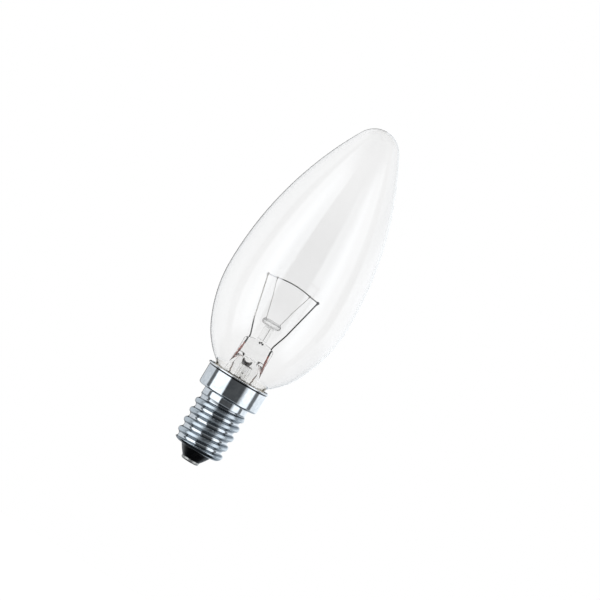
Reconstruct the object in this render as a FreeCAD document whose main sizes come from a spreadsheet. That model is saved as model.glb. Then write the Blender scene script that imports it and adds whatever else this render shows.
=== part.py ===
import FreeCAD, Part
import math
import os
import re
import PartDesign
import Sketcher

V = FreeCAD.Vector
doc = FreeCAD.newDocument("candle_bulb")

# A clear candle lamp, 35 mm across, on a small Edison screw cap (E14).
# It stands upright: the outer face of the centre contact is at the origin and the glass tip points to +Z.
# Heights are measured from that face. Left is -X and right is +X, seen from the front (-Y).

sizes = [
    # glass bulb
    ("bulb_length", 98.6, "height of the glass tip"),
    ("belly_radius", 17.5, "largest radius of the glass"),
    ("belly_height", 50, "height of the widest place"),
    ("side_ease", 3.31, "how much larger the side's radius is than one that runs straight into the neck's"),
    ("shoulder_angle", 26.3, "degrees below level, seen from the side's centre, where the shoulder starts"),
    ("neck_curve", 3.1, "radius that leads out of the neck"),
    ("tip_curve", 6.4, "radius of the tip"),
    ("neck_sink", 1.16, "depth below the rim where the neck starts to widen"),
    ("glass_wall", 0.55, "wall of the bulb"),
    # stem
    ("stem_radius", 4.6, "outside of the flare tube"),
    ("stem_wall", 0.7, "wall of the flare tube"),
    ("flare_curve", 3.2, "radius of the flare's outside"),
    ("flare_rim", 0.7, "height of the rim that is melted to the neck"),
    ("tube_length", 2.45, "length of the flare tube above the flare"),
    ("flattening", 5, "height over which the tube is flattened to the press"),
    ("press_width", 8.6, "width of the press"),
    ("press_thickness", 2.5, "thickness of the press"),
    ("press_side", 3.9, "height of the press at its sides"),
    ("press_rise", 0.8, "rise of the press's arched top"),
    ("cavity_width", 5, "width of the hollow's end under the press"),
    ("cavity_thickness", 0.7, "thickness of the hollow's end under the press"),
    ("exhaust_radius", 1.8, "outside of the exhaust tube"),
    ("exhaust_bore", 1, "inner radius of the exhaust tube"),
    ("exhaust_drop", 0.7, "distance from the press down to the exhaust tube's end"),
    ("exhaust_tip", 11, "lowest point of the tipped off end"),
    ("exhaust_hole_radius", 0.8, "hole from the exhaust tube into the bulb"),
    ("exhaust_hole_drop", 1, "distance from the exhaust tube's end down to that hole"),
    ("rod_radius", 1.3, "radius of the glass rod"),
    ("rod_depth", 2.1, "length of the rod inside the press"),
    ("rod_length", 5.5, "height of the button's middle over the press"),
    ("button_radius", 2.7, "radius of the button"),
    ("button_thickness", 1.75, "height of the button"),
    # wires
    ("support_wire", 0.18, "diameter of a support wire"),
    ("support_depth", 0.4, "length of a support wire in the button"),
    ("support_cover", 0.85, "glass between a support wire and the button's edge"),
    ("support_spread", 4.8, "distance of an eye from the middle"),
    ("support_bend_spread", 3.25, "distance of the bend in a support wire"),
    ("support_bend_rise", 5.6, "height of that bend over the button's middle"),
    ("support_curve", 2, "bending radius of a support wire"),
    ("eye_turn", 250, "degrees that an eye goes round the coil"),
    ("lead_wire", 0.42, "diameter of an inner lead"),
    ("lead_curve", 3, "bending radius of an inner lead"),
    ("seal_wire", 0.4, "diameter of a seal wire"),
    ("outer_wire", 0.36, "diameter of an outer lead"),
    ("outer_curve", 0.6, "bending radius of an outer lead"),
    ("outer_run", 0.6, "drop of an outer lead in line with its seal wire"),
    ("seal_cover", 0.9, "distance from a seal wire's top to the side of the press"),
    ("seal_lean", 0.35, "how much further out its foot is"),
    ("seal_rise", 2.8, "height of a seal wire's top over the foot of the press"),
    ("seal_drop", 2.4, "depth of its foot below the foot of the press"),
    ("lead_kink_rise", 2.2, "height over the seal wire where a lead starts to lean out"),
    ("lead_bend_rise", 4.4, "height over that kink where it leans less"),
    ("lead_bend_spread", 4.75, "distance of that bend from the middle"),
    ("outer_gap", 0.62, "gap between an outer lead and the flare tube"),
    ("clamp_length", 0.85, "length of a folded clamp along the filament"),
    ("clamp_width", 0.9, "width of a folded clamp"),
    ("clamp_height", 0.62, "height of a folded clamp"),
    ("clamp_edge", 0.12, "rounding of a folded clamp"),
    # filament
    ("filament_diameter", 0.34, "outside of the tungsten coil"),
    ("filament_reach", 7.4, "distance of a clamp from the middle"),
    ("filament_height", 11, "height of the coil at the eyes over the button's middle"),
    ("filament_fall", 0.4, "fall of the coil from the eyes to the clamps"),
    ("filament_arch", 0.5, "rise of the coil between the eyes"),
    ("eye_gap", 0.05, "gap between an eye and the coil"),
    # cap
    ("sheet_thickness", 0.25, "metal sheet of the cap"),
    ("thread_pitch", 2.822, "pitch of the round thread, 9 turns to the inch"),
    ("thread_crest_radius", 6.93, "radius over the crests"),
    ("thread_depth", 0.84, "depth of the roots below the crests"),
    ("thread_crest_height", 4.85, "height of the first crest on the right"),
    ("crest_shave", 0.01, "how much of the round crest is worn flat"),
    ("crest_gap", 0.06, "half of the strip that the cutter leaves above a crest"),
    ("thread_length", 12.2, "height from the lip to where the thread starts to fade into the collar"),
    ("fade_height", 1.5, "height over which it fades"),
    ("shell_foot", 3.5, "height of the turned-in lip"),
    ("shell_foot_curve", 1.75, "radius from the lip to the thread"),
    ("lip_width", 0.88, "width of the flat of the lip"),
    ("collar_inset", 0.53, "how far the plain collar lies inside the crests"),
    ("collar_height", 1.8, "height of the plain collar"),
    ("step_curve", 0.6, "radius at the step"),
    ("skirt_radius", 8.5, "outside of the skirt"),
    ("skirt_height", 6.2, "height from the step to the rim's upper face"),
    ("rim_overhang", 0.4, "how far the rim stands out from the skirt"),
    ("rim_thickness", 0.46, "thickness of the rim"),
    # contact end
    ("contact_radius", 2.53, "radius of the centre contact"),
    ("contact_thickness", 0.8, "thickness of the centre contact"),
    ("contact_edge", 0.5, "rounding of its edge"),
    ("eyelet_radius", 0.9, "outside of the eyelet"),
    ("eyelet_bore", 0.45, "bore of the eyelet"),
    ("eyelet_height", 1.9, "top of the eyelet"),
    ("solder_height", 0.7, "depth of the solder in the eyelet"),
    ("lead_tip_height", 0.3, "lower end of the centre lead"),
    ("insulator_top", 5.8, "upper face of the insulator"),
    ("insulator_gap", 0.03, "gap between the insulator and the thread's inside"),
    ("funnel_foot", 2.9, "height where the insulator's hole widens"),
    ("funnel_radius", 1.7, "radius of the hole at the top"),
    # seat of the glass
    ("cement_gap", 1.35, "room for cement between the skirt and the glass neck"),
    ("neck_clearance", 0.75, "gap between the step's sheet and the foot of the neck"),
    ("cement_lift", 0.4, "height of the cement's lower face over the foot of the neck"),
    ("cement_dip", 0.3, "depth of the cement's edge below the rim, at the skirt"),
    ("cement_rise", 0.1, "height of its edge over the rim, at the glass"),
    ("solder_width", 2.4, "length of the solder along the rim"),
    ("solder_build", 0.5, "how far that solder stands out from the rim"),
    ("solder_bed", 0.05, "solder between the rim and the side lead"),
]

# Places that follow from the sizes, from the cap's lip up to the filament.
derived = {
    "thread_root_radius": "thread_crest_radius - thread_depth",
    "lip_radius": "thread_crest_radius - shell_foot_curve - lip_width",
    "collar_radius": "thread_crest_radius - collar_inset",
    "thread_fade_foot": "shell_foot + thread_length",
    "thread_fade_top": "thread_fade_foot + fade_height",
    "step_height": "thread_fade_top + collar_height",
    "rim_radius": "skirt_radius + rim_overhang",
    "rim_top": "step_height + skirt_height",
    "neck_radius": "skirt_radius - sheet_thickness - cement_gap",
    "neck_foot": "step_height + sheet_thickness + neck_clearance",
    "neck_top": "rim_top - neck_sink",
    "belly_inset": "belly_radius - neck_radius - neck_curve",
    "belly_curve": "side_ease + (belly_inset ^ 2 + (belly_height - neck_top) ^ 2 - neck_curve ^ 2)"
    " / (2 * (neck_curve + belly_inset))",
    "cement_foot": "neck_foot + cement_lift",
    "cement_edge": "rim_top - cement_dip",
    "cement_top": "rim_top + cement_rise",
    "flare_reach": "neck_radius - glass_wall - stem_radius",
    "flare_top": "neck_foot + flare_rim + sqrt(flare_curve ^ 2 - (flare_curve - flare_reach) ^ 2)",
    "stem_shoulder": "flare_top + tube_length",
    "press_foot": "stem_shoulder + flattening",
    "press_side_top": "press_foot + press_side",
    "press_top": "press_side_top + press_rise",
    "exhaust_top": "press_foot - exhaust_drop",
    "exhaust_hole_height": "exhaust_top - exhaust_hole_drop",
    "rod_foot": "press_top - rod_depth",
    "button_height": "press_top + rod_length",
    "seal_top": "press_foot + seal_rise",
    "seal_foot": "press_foot - seal_drop",
    "seal_spread_top": "press_width / 2 - seal_cover",
    "seal_spread_foot": "seal_spread_top + seal_lean",
    "outer_spread": "stem_radius - stem_wall - outer_gap - outer_wire / 2",
    "lead_kink_height": "seal_top + lead_kink_rise",
    "lead_bend_height": "lead_kink_height + lead_bend_rise",
    "support_entry": "button_radius - support_cover",
    "support_bend_height": "button_height + support_bend_rise",
    "filament_eye_height": "button_height + filament_height",
    "filament_end_height": "filament_eye_height - filament_fall",
    "filament_crest_height": "filament_eye_height + filament_arch",
}

aliases = {alias for alias, _, _ in sizes}
sheet = doc.addObject("Spreadsheet::Sheet", "Sizes")
for row, (alias, number, meaning) in enumerate(sizes, start=1):
    sheet.set(f"A{row}", meaning)
    sheet.set(f"B{row}", str(number))
    sheet.setAlias(f"B{row}", alias)
doc.recompute()


def bound(text):
    """The text with each place written out in sizes, and each size's name made a reference to the sheet."""

    def written(found):
        name = found.group()
        if name in derived:
            return f"({bound(derived[name])})"
        return "Sizes." + name if name in aliases else name

    return re.sub(r"\b[a-z]+(?:_[a-z]+)*\b", written, text)


def value(text):
    """What the text comes to with the sizes in the sheet."""
    return float(sheet.evalExpression(bound(text)))


def place(sketch, geometry, end, along, text):
    """Ties one coordinate of a point to the sheet, or puts the point on an axis where it is zero."""
    if text == "0":
        axis = -2 if along == "DistanceX" else -1
        sketch.addConstraint(Sketcher.Constraint("PointOnObject", geometry, end, axis))
        return
    rule = sketch.addConstraint(Sketcher.Constraint(along, -1, 1, geometry, end, value(text)))
    sketch.setExpression(f"Constraints[{rule}]", bound(text))


def new_body(name):
    body = doc.addObject("PartDesign::Body", name)
    body.Label = name
    return body


def new_sketch(body, name, plane="XZ_Plane", height=None):
    """A sketch on one of the body's own planes, raised by a height where one is given."""
    sketch = body.newObject("Sketcher::SketchObject", name)
    origin = next(item for item in body.Origin.OriginFeatures if item.Role == plane)
    sketch.AttachmentSupport = (origin, "")
    sketch.MapMode = "FlatFace"
    if height:
        sketch.AttachmentOffset = FreeCAD.Placement(V(0, 0, value(height)), FreeCAD.Rotation())
        sketch.setExpression("AttachmentOffset.Base.z", bound(height))
    return sketch


def draw(sketch, corners):
    """A closed outline through corners, each (x, y) in size texts.

    A corner is (x, y, radius, side) where an arc leads to the next one. The side is "left" or "right":
    where the arc's centre lies, going from the corner to the next. An arc with None for its radius is
    a half circle whose ends have the same x."""
    points = [V(value(corner[0]), value(corner[1]), 0) for corner in corners]
    ends = []
    for index, corner in enumerate(corners):
        here, there = points[index], points[(index + 1) % len(points)]
        if len(corner) == 2:
            geometry = sketch.addGeometry(Part.LineSegment(here, there))
            ends.append((geometry, 1, 2))
            continue
        along = there - here
        radius = value(corner[2]) if corner[2] else along.Length / 2
        rise = math.sqrt(max(radius**2 - (along.Length / 2) ** 2, 0))
        across = V(-along.y, along.x, 0).normalize()
        turn = 1 if corner[3] == "left" else -1
        centre = here + along * 0.5 + across * rise * turn
        first, last = (here, there) if turn == 1 else (there, here)
        start = math.atan2(first.y - centre.y, first.x - centre.x)
        finish = math.atan2(last.y - centre.y, last.x - centre.x)
        finish += 2 * math.pi if finish < start else 0
        circle = Part.Circle(centre, V(0, 0, 1), radius)
        geometry = sketch.addGeometry(Part.ArcOfCircle(circle, start, finish))
        ends.append((geometry, 1, 2) if turn == 1 else (geometry, 2, 1))
        if corner[2]:
            rule = sketch.addConstraint(Sketcher.Constraint("Radius", geometry, radius))
            sketch.setExpression(f"Constraints[{rule}]", bound(corner[2]))
        else:
            sketch.addConstraint(Sketcher.Constraint("Vertical", geometry, 3, geometry, 1))
    for index, (geometry, begin, end) in enumerate(ends):
        following, next_begin, _ = ends[(index + 1) % len(ends)]
        sketch.addConstraint(Sketcher.Constraint("Coincident", geometry, end, following, next_begin))
        place(sketch, geometry, begin, "DistanceX", corners[index][0])
        place(sketch, geometry, begin, "DistanceY", corners[index][1])
    return sketch


def revolve(body, name, corners):
    """A solid of revolution about the lamp's axis."""
    sketch = draw(new_sketch(body, name + "_outline"), corners)
    feature = body.newObject("PartDesign::Revolution", name)
    feature.Profile = sketch
    feature.ReferenceAxis = (sketch, ["V_Axis"])
    feature.Angle = 360
    doc.recompute()
    return feature


def add_loft(body, name, first, second, kind="PartDesign::AdditiveLoft"):
    """A ruled transition between two sketches, added or taken away."""
    feature = body.newObject(kind, name)
    feature.Profile = first
    feature.Sections = [second]
    feature.Ruled = True
    doc.recompute()
    return feature


def stadium(length, width):
    """Corners of a level outline with two straight sides and two round ends."""
    half, reach = f"({width}) / 2", f"(({length}) - ({width})) / 2"
    return [
        (f"-({reach})", f"-({half})"),
        (reach, f"-({half})", None, "left"),
        (reach, half),
        (f"-({reach})", half, None, "left"),
    ]


def quartered_circle(radius):
    """Corners of a circle in four arcs, so that each meets one side of a stadium."""
    reach = f"({radius}) / sqrt(2)"
    signs = [("-", "-"), ("", "-"), ("", ""), ("-", "")]
    return [(f"{x}({reach})", f"{y}({reach})", radius, "left") for x, y in signs]


def bent_path(points, bend):
    """Straight runs through the points and tangent arcs of one radius, or smaller where a run is short."""
    edges = []
    start = points[0]
    for before, corner, after in zip(points, points[1:], points[2:]):
        incoming, outgoing = (corner - before), (after - corner)
        shorter = min(incoming.Length, outgoing.Length)
        incoming.normalize()
        outgoing.normalize()
        turn = incoming.getAngle(outgoing)
        setback = min(bend * math.tan(turn / 2), 0.45 * shorter)
        radius = setback / math.tan(turn / 2)
        middle = corner + (outgoing - incoming).normalize() * (radius / math.cos(turn / 2) - radius)
        first, last = corner - incoming * setback, corner + outgoing * setback
        edges += [Part.makeLine(start, first), Part.Arc(first, middle, last).toShape()]
        start = last
    return edges + [Part.makeLine(start, points[-1])]


def wire(name, points, diameter, bend, tail=()):
    """A round wire along the points and any arcs that follow them."""
    path = Part.Wire(bent_path(points, bend) + list(tail))
    start, direction = points[0], points[1] - points[0]
    section = Part.Wire([Part.makeCircle(diameter / 2, start, direction)])
    solid = path.makePipeShell([section], True, False)
    expected = math.pi * diameter**2 / 4 * path.Length
    if abs(solid.Volume - expected) > 0.01 * expected:
        raise ValueError(f"{name}: volume {solid.Volume:.4f}, expected {expected:.4f}")
    return solid


def feature(name, shape):
    item = doc.addObject("Part::Feature", name)
    item.Label = name
    item.Shape = shape
    item.Placement = FreeCAD.Placement()
    return item


def carve(name, base, tools):
    """The base without the room that the tools take, one cut after another. The last cut has the name."""
    for index, tool in enumerate(tools):
        cut = doc.addObject("Part::Cut", f"{name}_cut_{index}")
        cut.Base = base
        cut.Tool = tool
        base = cut
    base.Label = name
    doc.recompute()
    return base


def primitive(kind, name, **texts):
    """A Part primitive whose sizes and height follow the sheet."""
    item = doc.addObject(kind, name)
    for key, text in texts.items():
        item.setExpression("Placement.Base." + key if key in "xyz" else key, bound(text))
    doc.recompute()
    return item


def toward(start, end, distance):
    return start + (end - start).normalize() * distance


def glass_side(sketch, inset):
    """One skin of the bulb as tangent arcs, moved in by the inset. Gives its foot line and its last arc."""
    wall = value(inset)
    belly_radius, tip_curve = value("belly_radius"), value("tip_curve")
    rise = value("bulb_length - tip_curve - belly_height")
    crown_curve = (belly_radius**2 + rise**2 - tip_curve**2) / (2 * (belly_radius - tip_curve))
    neck = V(value("neck_radius + neck_curve"), value("neck_top"), 0)
    belly = V(value("belly_radius - belly_curve"), value("belly_height"), 0)
    crown = V(belly_radius - crown_curve, belly.y, 0)
    tip = V(0, value("bulb_length - tip_curve"), 0)
    # the shoulder's arc leaves the side's at its angle, and its radius is the one that touches the neck's arc
    neck_curve = value("neck_curve")
    angle = math.radians(value("shoulder_angle"))
    outward = V(math.cos(angle), -math.sin(angle), 0)
    leaving_side = belly + outward * value("belly_curve")
    across = leaving_side - neck
    shoulder_curve = (across.Length**2 - neck_curve**2) / (2 * (neck_curve + outward.dot(across)))
    shoulder = leaving_side - outward * shoulder_curve

    belly_side = value("belly_curve") - wall
    joints = [
        V(value("neck_radius") - wall, neck.y, 0),
        toward(neck, shoulder, neck_curve + wall),
        toward(belly, shoulder, belly_side),
        V(belly_radius - wall, belly.y, 0),
        toward(crown, tip, crown_curve - wall),
        V(0, value("bulb_length") - wall, 0),
    ]
    foot = V(joints[0].x, value("neck_foot"), 0)
    previous = line = sketch.addGeometry(Part.LineSegment(foot, joints[0]))
    leaving = 2
    arcs = []
    for centre, begin, end in zip((neck, shoulder, belly, crown, tip), joints, joints[1:]):
        reverse = centre is neck
        first, last = (end, begin) if reverse else (begin, end)
        start = math.atan2(first.y - centre.y, first.x - centre.x)
        finish = math.atan2(last.y - centre.y, last.x - centre.x)
        circle = Part.Circle(centre, V(0, 0, 1), (begin - centre).Length)
        arc = sketch.addGeometry(Part.ArcOfCircle(circle, start, finish))
        arriving = 2 if reverse else 1
        sketch.addConstraint(Sketcher.Constraint("Tangent", previous, leaving, arc, arriving))
        arcs.append(arc)
        previous, leaving = arc, 3 - arriving
    sketch.addConstraint(Sketcher.Constraint("Vertical", line))
    place(sketch, line, 1, "DistanceX", f"neck_radius - {inset}")
    place(sketch, line, 1, "DistanceY", "neck_foot")
    place(sketch, line, 2, "DistanceY", "neck_top")
    place(sketch, arcs[3], 1, "DistanceX", f"belly_radius - {inset}")
    place(sketch, arcs[3], 1, "DistanceY", "belly_height")
    place(sketch, arcs[2], 3, "DistanceY", "belly_height")
    place(sketch, arcs[4], 2, "DistanceX", "0")
    place(sketch, arcs[4], 2, "DistanceY", f"bulb_length - {inset}")
    place(sketch, arcs[4], 3, "DistanceX", "0")
    side_drop = f"belly_height - (belly_curve - {inset}) * sin(shoulder_angle)"
    place(sketch, arcs[2], 1, "DistanceY", side_drop)
    curves = {0: "neck_curve +", 2: "belly_curve -", 4: "tip_curve -"}
    for index, curve in curves.items():
        radius = sketch.Geometry[arcs[index]].Radius
        rule = sketch.addConstraint(Sketcher.Constraint("Radius", arcs[index], radius))
        sketch.setExpression(f"Constraints[{rule}]", bound(f"{curve} {inset}"))
    return line, arcs[4]


def make_glass_envelope():
    body = new_body("glass_envelope")
    sketch = new_sketch(body, "envelope_outline")
    outer_line, outer_tip = glass_side(sketch, "0")
    inner_line, inner_tip = glass_side(sketch, "glass_wall")
    for first, first_end, second, second_end in (
        (outer_line, 1, inner_line, 1),
        (outer_tip, 2, inner_tip, 2),
    ):
        begin, finish = sketch.getPoint(first, first_end), sketch.getPoint(second, second_end)
        edge = sketch.addGeometry(Part.LineSegment(begin, finish))
        sketch.addConstraint(Sketcher.Constraint("Coincident", edge, 1, first, first_end))
        sketch.addConstraint(Sketcher.Constraint("Coincident", edge, 2, second, second_end))
    blown = body.newObject("PartDesign::Revolution", "blown_glass")
    blown.Profile = sketch
    blown.ReferenceAxis = (sketch, ["V_Axis"])
    blown.Angle = 360
    doc.recompute()
    return body


# Stem: the flare tube, flattened at its top into the press that seals the wires.
inner_flare_curve = "((flare_reach ^ 2 + (flare_top - neck_foot) ^ 2) / (2 * flare_reach))"
press_arch = "((press_width / 2) ^ 2 + press_rise ^ 2) / (2 * press_rise)"


def make_stem_glass():
    body = new_body("stem_glass")
    revolve(
        body,
        "flare_tube",
        [
            ("stem_radius - stem_wall", "flare_top", inner_flare_curve, "left"),
            ("stem_radius - stem_wall + flare_reach", "neck_foot"),
            ("neck_radius - glass_wall", "neck_foot"),
            ("neck_radius - glass_wall", "neck_foot + flare_rim", "flare_curve", "right"),
            ("stem_radius", "flare_top"),
            ("stem_radius", "stem_shoulder"),
            ("stem_radius - stem_wall", "stem_shoulder"),
        ],
    )
    tube_end = draw(
        new_sketch(body, "tube_end", "XY_Plane", "stem_shoulder"),
        quartered_circle("stem_radius"),
    )
    press_end = draw(
        new_sketch(body, "press_end", "XY_Plane", "press_foot"),
        stadium("press_width", "press_thickness"),
    )
    add_loft(body, "flattening", tube_end, press_end)

    press = body.newObject("PartDesign::Pad", "press")
    press.Profile = draw(
        new_sketch(body, "press_section", "XY_Plane", "press_foot"),
        stadium("press_width", "press_thickness"),
    )
    press.setExpression("Length", bound("press_top - press_foot"))
    doc.recompute()

    arch = body.newObject("PartDesign::Pocket", "arched_top")
    arch.Profile = draw(
        new_sketch(body, "arch_outline"),
        [
            ("press_width / 2", "press_side_top", press_arch, "left"),
            ("-press_width / 2", "press_side_top"),
            ("-press_width / 2", "press_top + press_thickness"),
            ("press_width / 2", "press_top + press_thickness"),
        ],
    )
    arch.Midplane = True
    arch.setExpression("Length", bound("2 * press_thickness"))
    doc.recompute()

    hollow_foot = draw(
        new_sketch(body, "hollow_foot", "XY_Plane", "stem_shoulder"),
        quartered_circle("stem_radius - stem_wall"),
    )
    hollow_end = draw(
        new_sketch(body, "hollow_end", "XY_Plane", "press_foot"),
        stadium("cavity_width", "cavity_thickness"),
    )
    add_loft(body, "hollow", hollow_foot, hollow_end, "PartDesign::SubtractiveLoft")
    bore_exhaust_hole(body)
    return body


def bore_exhaust_hole(body):
    """The hole that leads from the exhaust tube into the bulb, through the front of the stem."""
    before = body.Shape.Volume
    hole = body.newObject("PartDesign::Pocket", body.Name + "_hole")
    sketch = new_sketch(body, body.Name + "_hole_outline")
    circle = Part.Circle(V(0, value("exhaust_hole_height"), 0), V(0, 0, 1), value("exhaust_hole_radius"))
    geometry = sketch.addGeometry(circle)
    place(sketch, geometry, 3, "DistanceX", "0")
    place(sketch, geometry, 3, "DistanceY", "exhaust_hole_height")
    rule = sketch.addConstraint(Sketcher.Constraint("Radius", geometry, circle.Radius))
    sketch.setExpression(f"Constraints[{rule}]", bound("exhaust_hole_radius"))
    hole.Profile = sketch
    hole.Reversed = True
    hole.setExpression("Length", bound("stem_radius"))
    doc.recompute()
    if body.Shape.Volume > before - 0.1:
        raise ValueError(f"{body.Label}: the exhaust hole cuts nothing")


def make_exhaust_tube():
    body = new_body("exhaust_tube")
    tube_wall = "(exhaust_radius - exhaust_bore)"
    revolve(
        body,
        "drawn_tube",
        [
            ("0", "exhaust_tip", "exhaust_radius", "left"),
            ("exhaust_radius", "exhaust_tip + exhaust_radius"),
            ("exhaust_radius", "exhaust_top"),
            ("exhaust_bore", "exhaust_top"),
            ("exhaust_bore", "exhaust_tip + exhaust_radius", "exhaust_bore", "right"),
            ("0", f"exhaust_tip + {tube_wall}"),
        ],
    )
    bore_exhaust_hole(body)
    return body


def make_rod_glass():
    """The rod and its button: a round lens on a straight rod."""
    body = new_body("rod_glass")
    half = "button_thickness / 2"
    revolve(
        body,
        "rod_and_button",
        [
            ("0", "rod_foot"),
            ("rod_radius", "rod_foot"),
            ("rod_radius", f"button_height - {half}"),
            (f"button_radius - {half}", f"button_height - {half}", half, "left"),
            ("button_radius", "button_height", half, "left"),
            (f"button_radius - {half}", f"button_height + {half}"),
            ("0", f"button_height + {half}"),
        ],
    )
    return body


# Cap: one sheet, drawn as its outside less its inside, which is the same form moved in by the sheet.
crest_apex = "(thread_crest_radius + crest_shave)"
round_depth = "(thread_depth + crest_shave)"
knuckle = f"((thread_pitch ^ 2 / 4 + {round_depth} ^ 2) / (4 * {round_depth}))"
foot_centre = "(thread_crest_radius - shell_foot_curve)"
foot_turn = "(shell_foot + shell_foot_curve)"


def cut_thread(body, inset):
    """Cuts the right-hand round thread: a groove of one root arc between two halves of crest arcs."""
    root = f"(thread_root_radius + {knuckle})"
    crest = f"({crest_apex} - {knuckle})"
    middle = "(thread_crest_height - 1.5 * thread_pitch)"
    root_share = f"(({knuckle} + {inset}) / (2 * {knuckle}))"
    meet_radius = f"({root} + ({crest} - {root}) * {root_share})"
    meet_rise = f"(thread_pitch / 2 * {root_share})"
    brink_rise = "(thread_pitch / 2 - crest_gap)"
    brink_radius = f"({crest} + sqrt(({knuckle} - {inset}) ^ 2 - crest_gap ^ 2))"
    clear = "(thread_crest_radius + thread_pitch / 4)"
    groove = body.newObject("PartDesign::SubtractiveHelix", body.Name + "_thread")
    groove.Profile = draw(
        new_sketch(body, body.Name + "_groove"),
        [
            (clear, f"{middle} - {brink_rise}"),
            (clear, f"{middle} + {brink_rise}"),
            (brink_radius, f"{middle} + {brink_rise}", f"{knuckle} - {inset}", "right"),
            (meet_radius, f"{middle} + {meet_rise}", f"{knuckle} + {inset}", "left"),
            (meet_radius, f"{middle} - {meet_rise}", f"{knuckle} - {inset}", "right"),
            (brink_radius, f"{middle} - {brink_rise}"),
        ],
    )
    groove.ReferenceAxis = (groove.Profile[0], ["V_Axis"])
    groove.Mode = "pitch-height-angle"
    groove.setExpression("Pitch", bound("thread_pitch"))
    groove.setExpression("Height", bound(f"thread_fade_top + thread_pitch - {middle}"))
    groove.LeftHanded = False
    doc.recompute()


def make_cap_form(name, inset, inside):
    """The cap as a solid: the thread from its lip to where it fades, then neck, step and skirt."""
    body = new_body(name)
    lip = [("0", f"shell_foot + {inset}")]
    if inside:
        lip = [("0", "shell_foot - shell_foot_curve"), ("lip_radius", "shell_foot - shell_foot_curve")]
        lip += [("lip_radius", f"shell_foot + {inset}")]
    revolve(
        body,
        name + "_barrel",
        lip
        + [
            (foot_centre, f"shell_foot + {inset}", f"shell_foot_curve - {inset}", "left"),
            (f"thread_crest_radius - {inset}", foot_turn),
            (f"thread_crest_radius - {inset}", "thread_fade_foot"),
            (f"collar_radius - {inset}", "thread_fade_top"),
            ("0", "thread_fade_top"),
        ],
    )
    before = body.Shape.Volume
    cut_thread(body, inset)
    if not 0.8 * before < body.Shape.Volume < 0.98 * before:
        raise ValueError(f"{name}: the thread is not cut as it should be")

    rim = [
        ("skirt_radius", "rim_top - rim_thickness"),
        ("rim_radius - rim_thickness / 2", "rim_top - rim_thickness", "rim_thickness / 2", "left"),
        ("rim_radius", "rim_top - rim_thickness / 2", "rim_thickness / 2", "left"),
        ("rim_radius - rim_thickness / 2", "rim_top"),
        ("0", "rim_top"),
    ]
    if inside:
        rim = [(f"skirt_radius - {inset}", "rim_top + rim_thickness"), ("0", "rim_top + rim_thickness")]
    revolve(
        body,
        name + "_collar",
        [
            ("0", "thread_fade_foot"),
            (f"thread_root_radius - {inset} - sheet_thickness", "thread_fade_foot"),
            (f"collar_radius - {inset}", "thread_fade_top"),
            (f"collar_radius - {inset}", f"step_height + {inset}"),
            ("skirt_radius - step_curve", f"step_height + {inset}", f"step_curve - {inset}", "left"),
            (f"skirt_radius - {inset}", "step_height + step_curve"),
        ]
        + rim,
    )
    return body


# Contact end: black glass between the lip and the contact, whose eyelet holds the centre lead in solder.
def make_insulator():
    body = new_body("insulator")
    bore = "(thread_root_radius - sheet_thickness - insulator_gap)"
    inner_curve = "(shell_foot_curve - sheet_thickness)"
    revolve(
        body,
        "moulded_glass",
        [
            ("eyelet_radius", "contact_thickness"),
            ("contact_radius", "contact_thickness"),
            ("lip_radius", "shell_foot"),
            ("lip_radius", "shell_foot + sheet_thickness"),
            (foot_centre, "shell_foot + sheet_thickness", inner_curve, "left"),
            (bore, f"{foot_turn} - sqrt({inner_curve} ^ 2 - ({bore} - {foot_centre}) ^ 2)"),
            (bore, "insulator_top"),
            ("funnel_radius", "insulator_top"),
            ("eyelet_radius", "funnel_foot"),
        ],
    )
    return body


def make_contact_plate():
    body = new_body("contact_plate")
    revolve(
        body,
        "pressed_contact",
        [
            ("eyelet_bore", "0"),
            ("contact_radius - contact_edge", "0", "contact_edge", "left"),
            ("contact_radius", "contact_edge"),
            ("contact_radius", "contact_thickness"),
            ("eyelet_radius", "contact_thickness"),
            ("eyelet_radius", "eyelet_height"),
            ("eyelet_bore", "eyelet_height"),
        ],
    )
    return body


def make_contact_solder():
    body = new_body("contact_solder")
    revolve(
        body,
        "solder_plug",
        [
            ("0", "0"),
            ("eyelet_bore", "0"),
            ("eyelet_bore", "solder_height"),
            ("outer_wire / 2", "solder_height"),
            ("outer_wire / 2", "lead_tip_height"),
            ("0", "lead_tip_height"),
        ],
    )
    return body


def make_cement():
    """The ring that fixes the glass: its inside follows the neck as it starts to widen."""
    body = new_body("cement_ring")
    glass_edge = "(neck_radius + neck_curve - sqrt(neck_curve ^ 2 - (cement_top - neck_top) ^ 2))"
    revolve(
        body,
        "cement_fill",
        [
            ("neck_radius", "cement_foot"),
            ("skirt_radius - sheet_thickness", "cement_foot"),
            ("skirt_radius - sheet_thickness", "cement_edge"),
            (glass_edge, "cement_top", "neck_curve", "left"),
            ("neck_radius", "neck_top"),
        ],
    )
    return body


def make_rim_solder():
    """Solder that hugs the upper outer quarter of the rim at the back, over the end of the side lead."""
    body = new_body("rim_solder")
    bead = "(rim_thickness / 2)"
    middle = f"(rim_radius - {bead})"
    crest = f"(solder_build + {bead})"
    section = draw(
        new_sketch(body, "rim_solder_section", "YZ_Plane"),
        [
            ("skirt_radius", "rim_top"),
            (middle, "rim_top", bead, "right"),
            ("rim_radius", f"rim_top - {bead}"),
            ("rim_radius + solder_build", f"rim_top - {bead}", crest, "left"),
            ("skirt_radius", f"rim_top - {bead} + sqrt({crest} ^ 2 - ({middle} - skirt_radius) ^ 2)"),
        ],
    )
    drop = body.newObject("PartDesign::Revolution", "rim_solder_drop")
    drop.Profile = section
    drop.ReferenceAxis = (section, ["V_Axis"])
    drop.Midplane = True
    drop.setExpression("Angle", bound("solder_width / rim_radius * 180 / pi"))
    doc.recompute()
    return body


def point(x, z, y="0"):
    return V(value(x), value(y), value(z))


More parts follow.
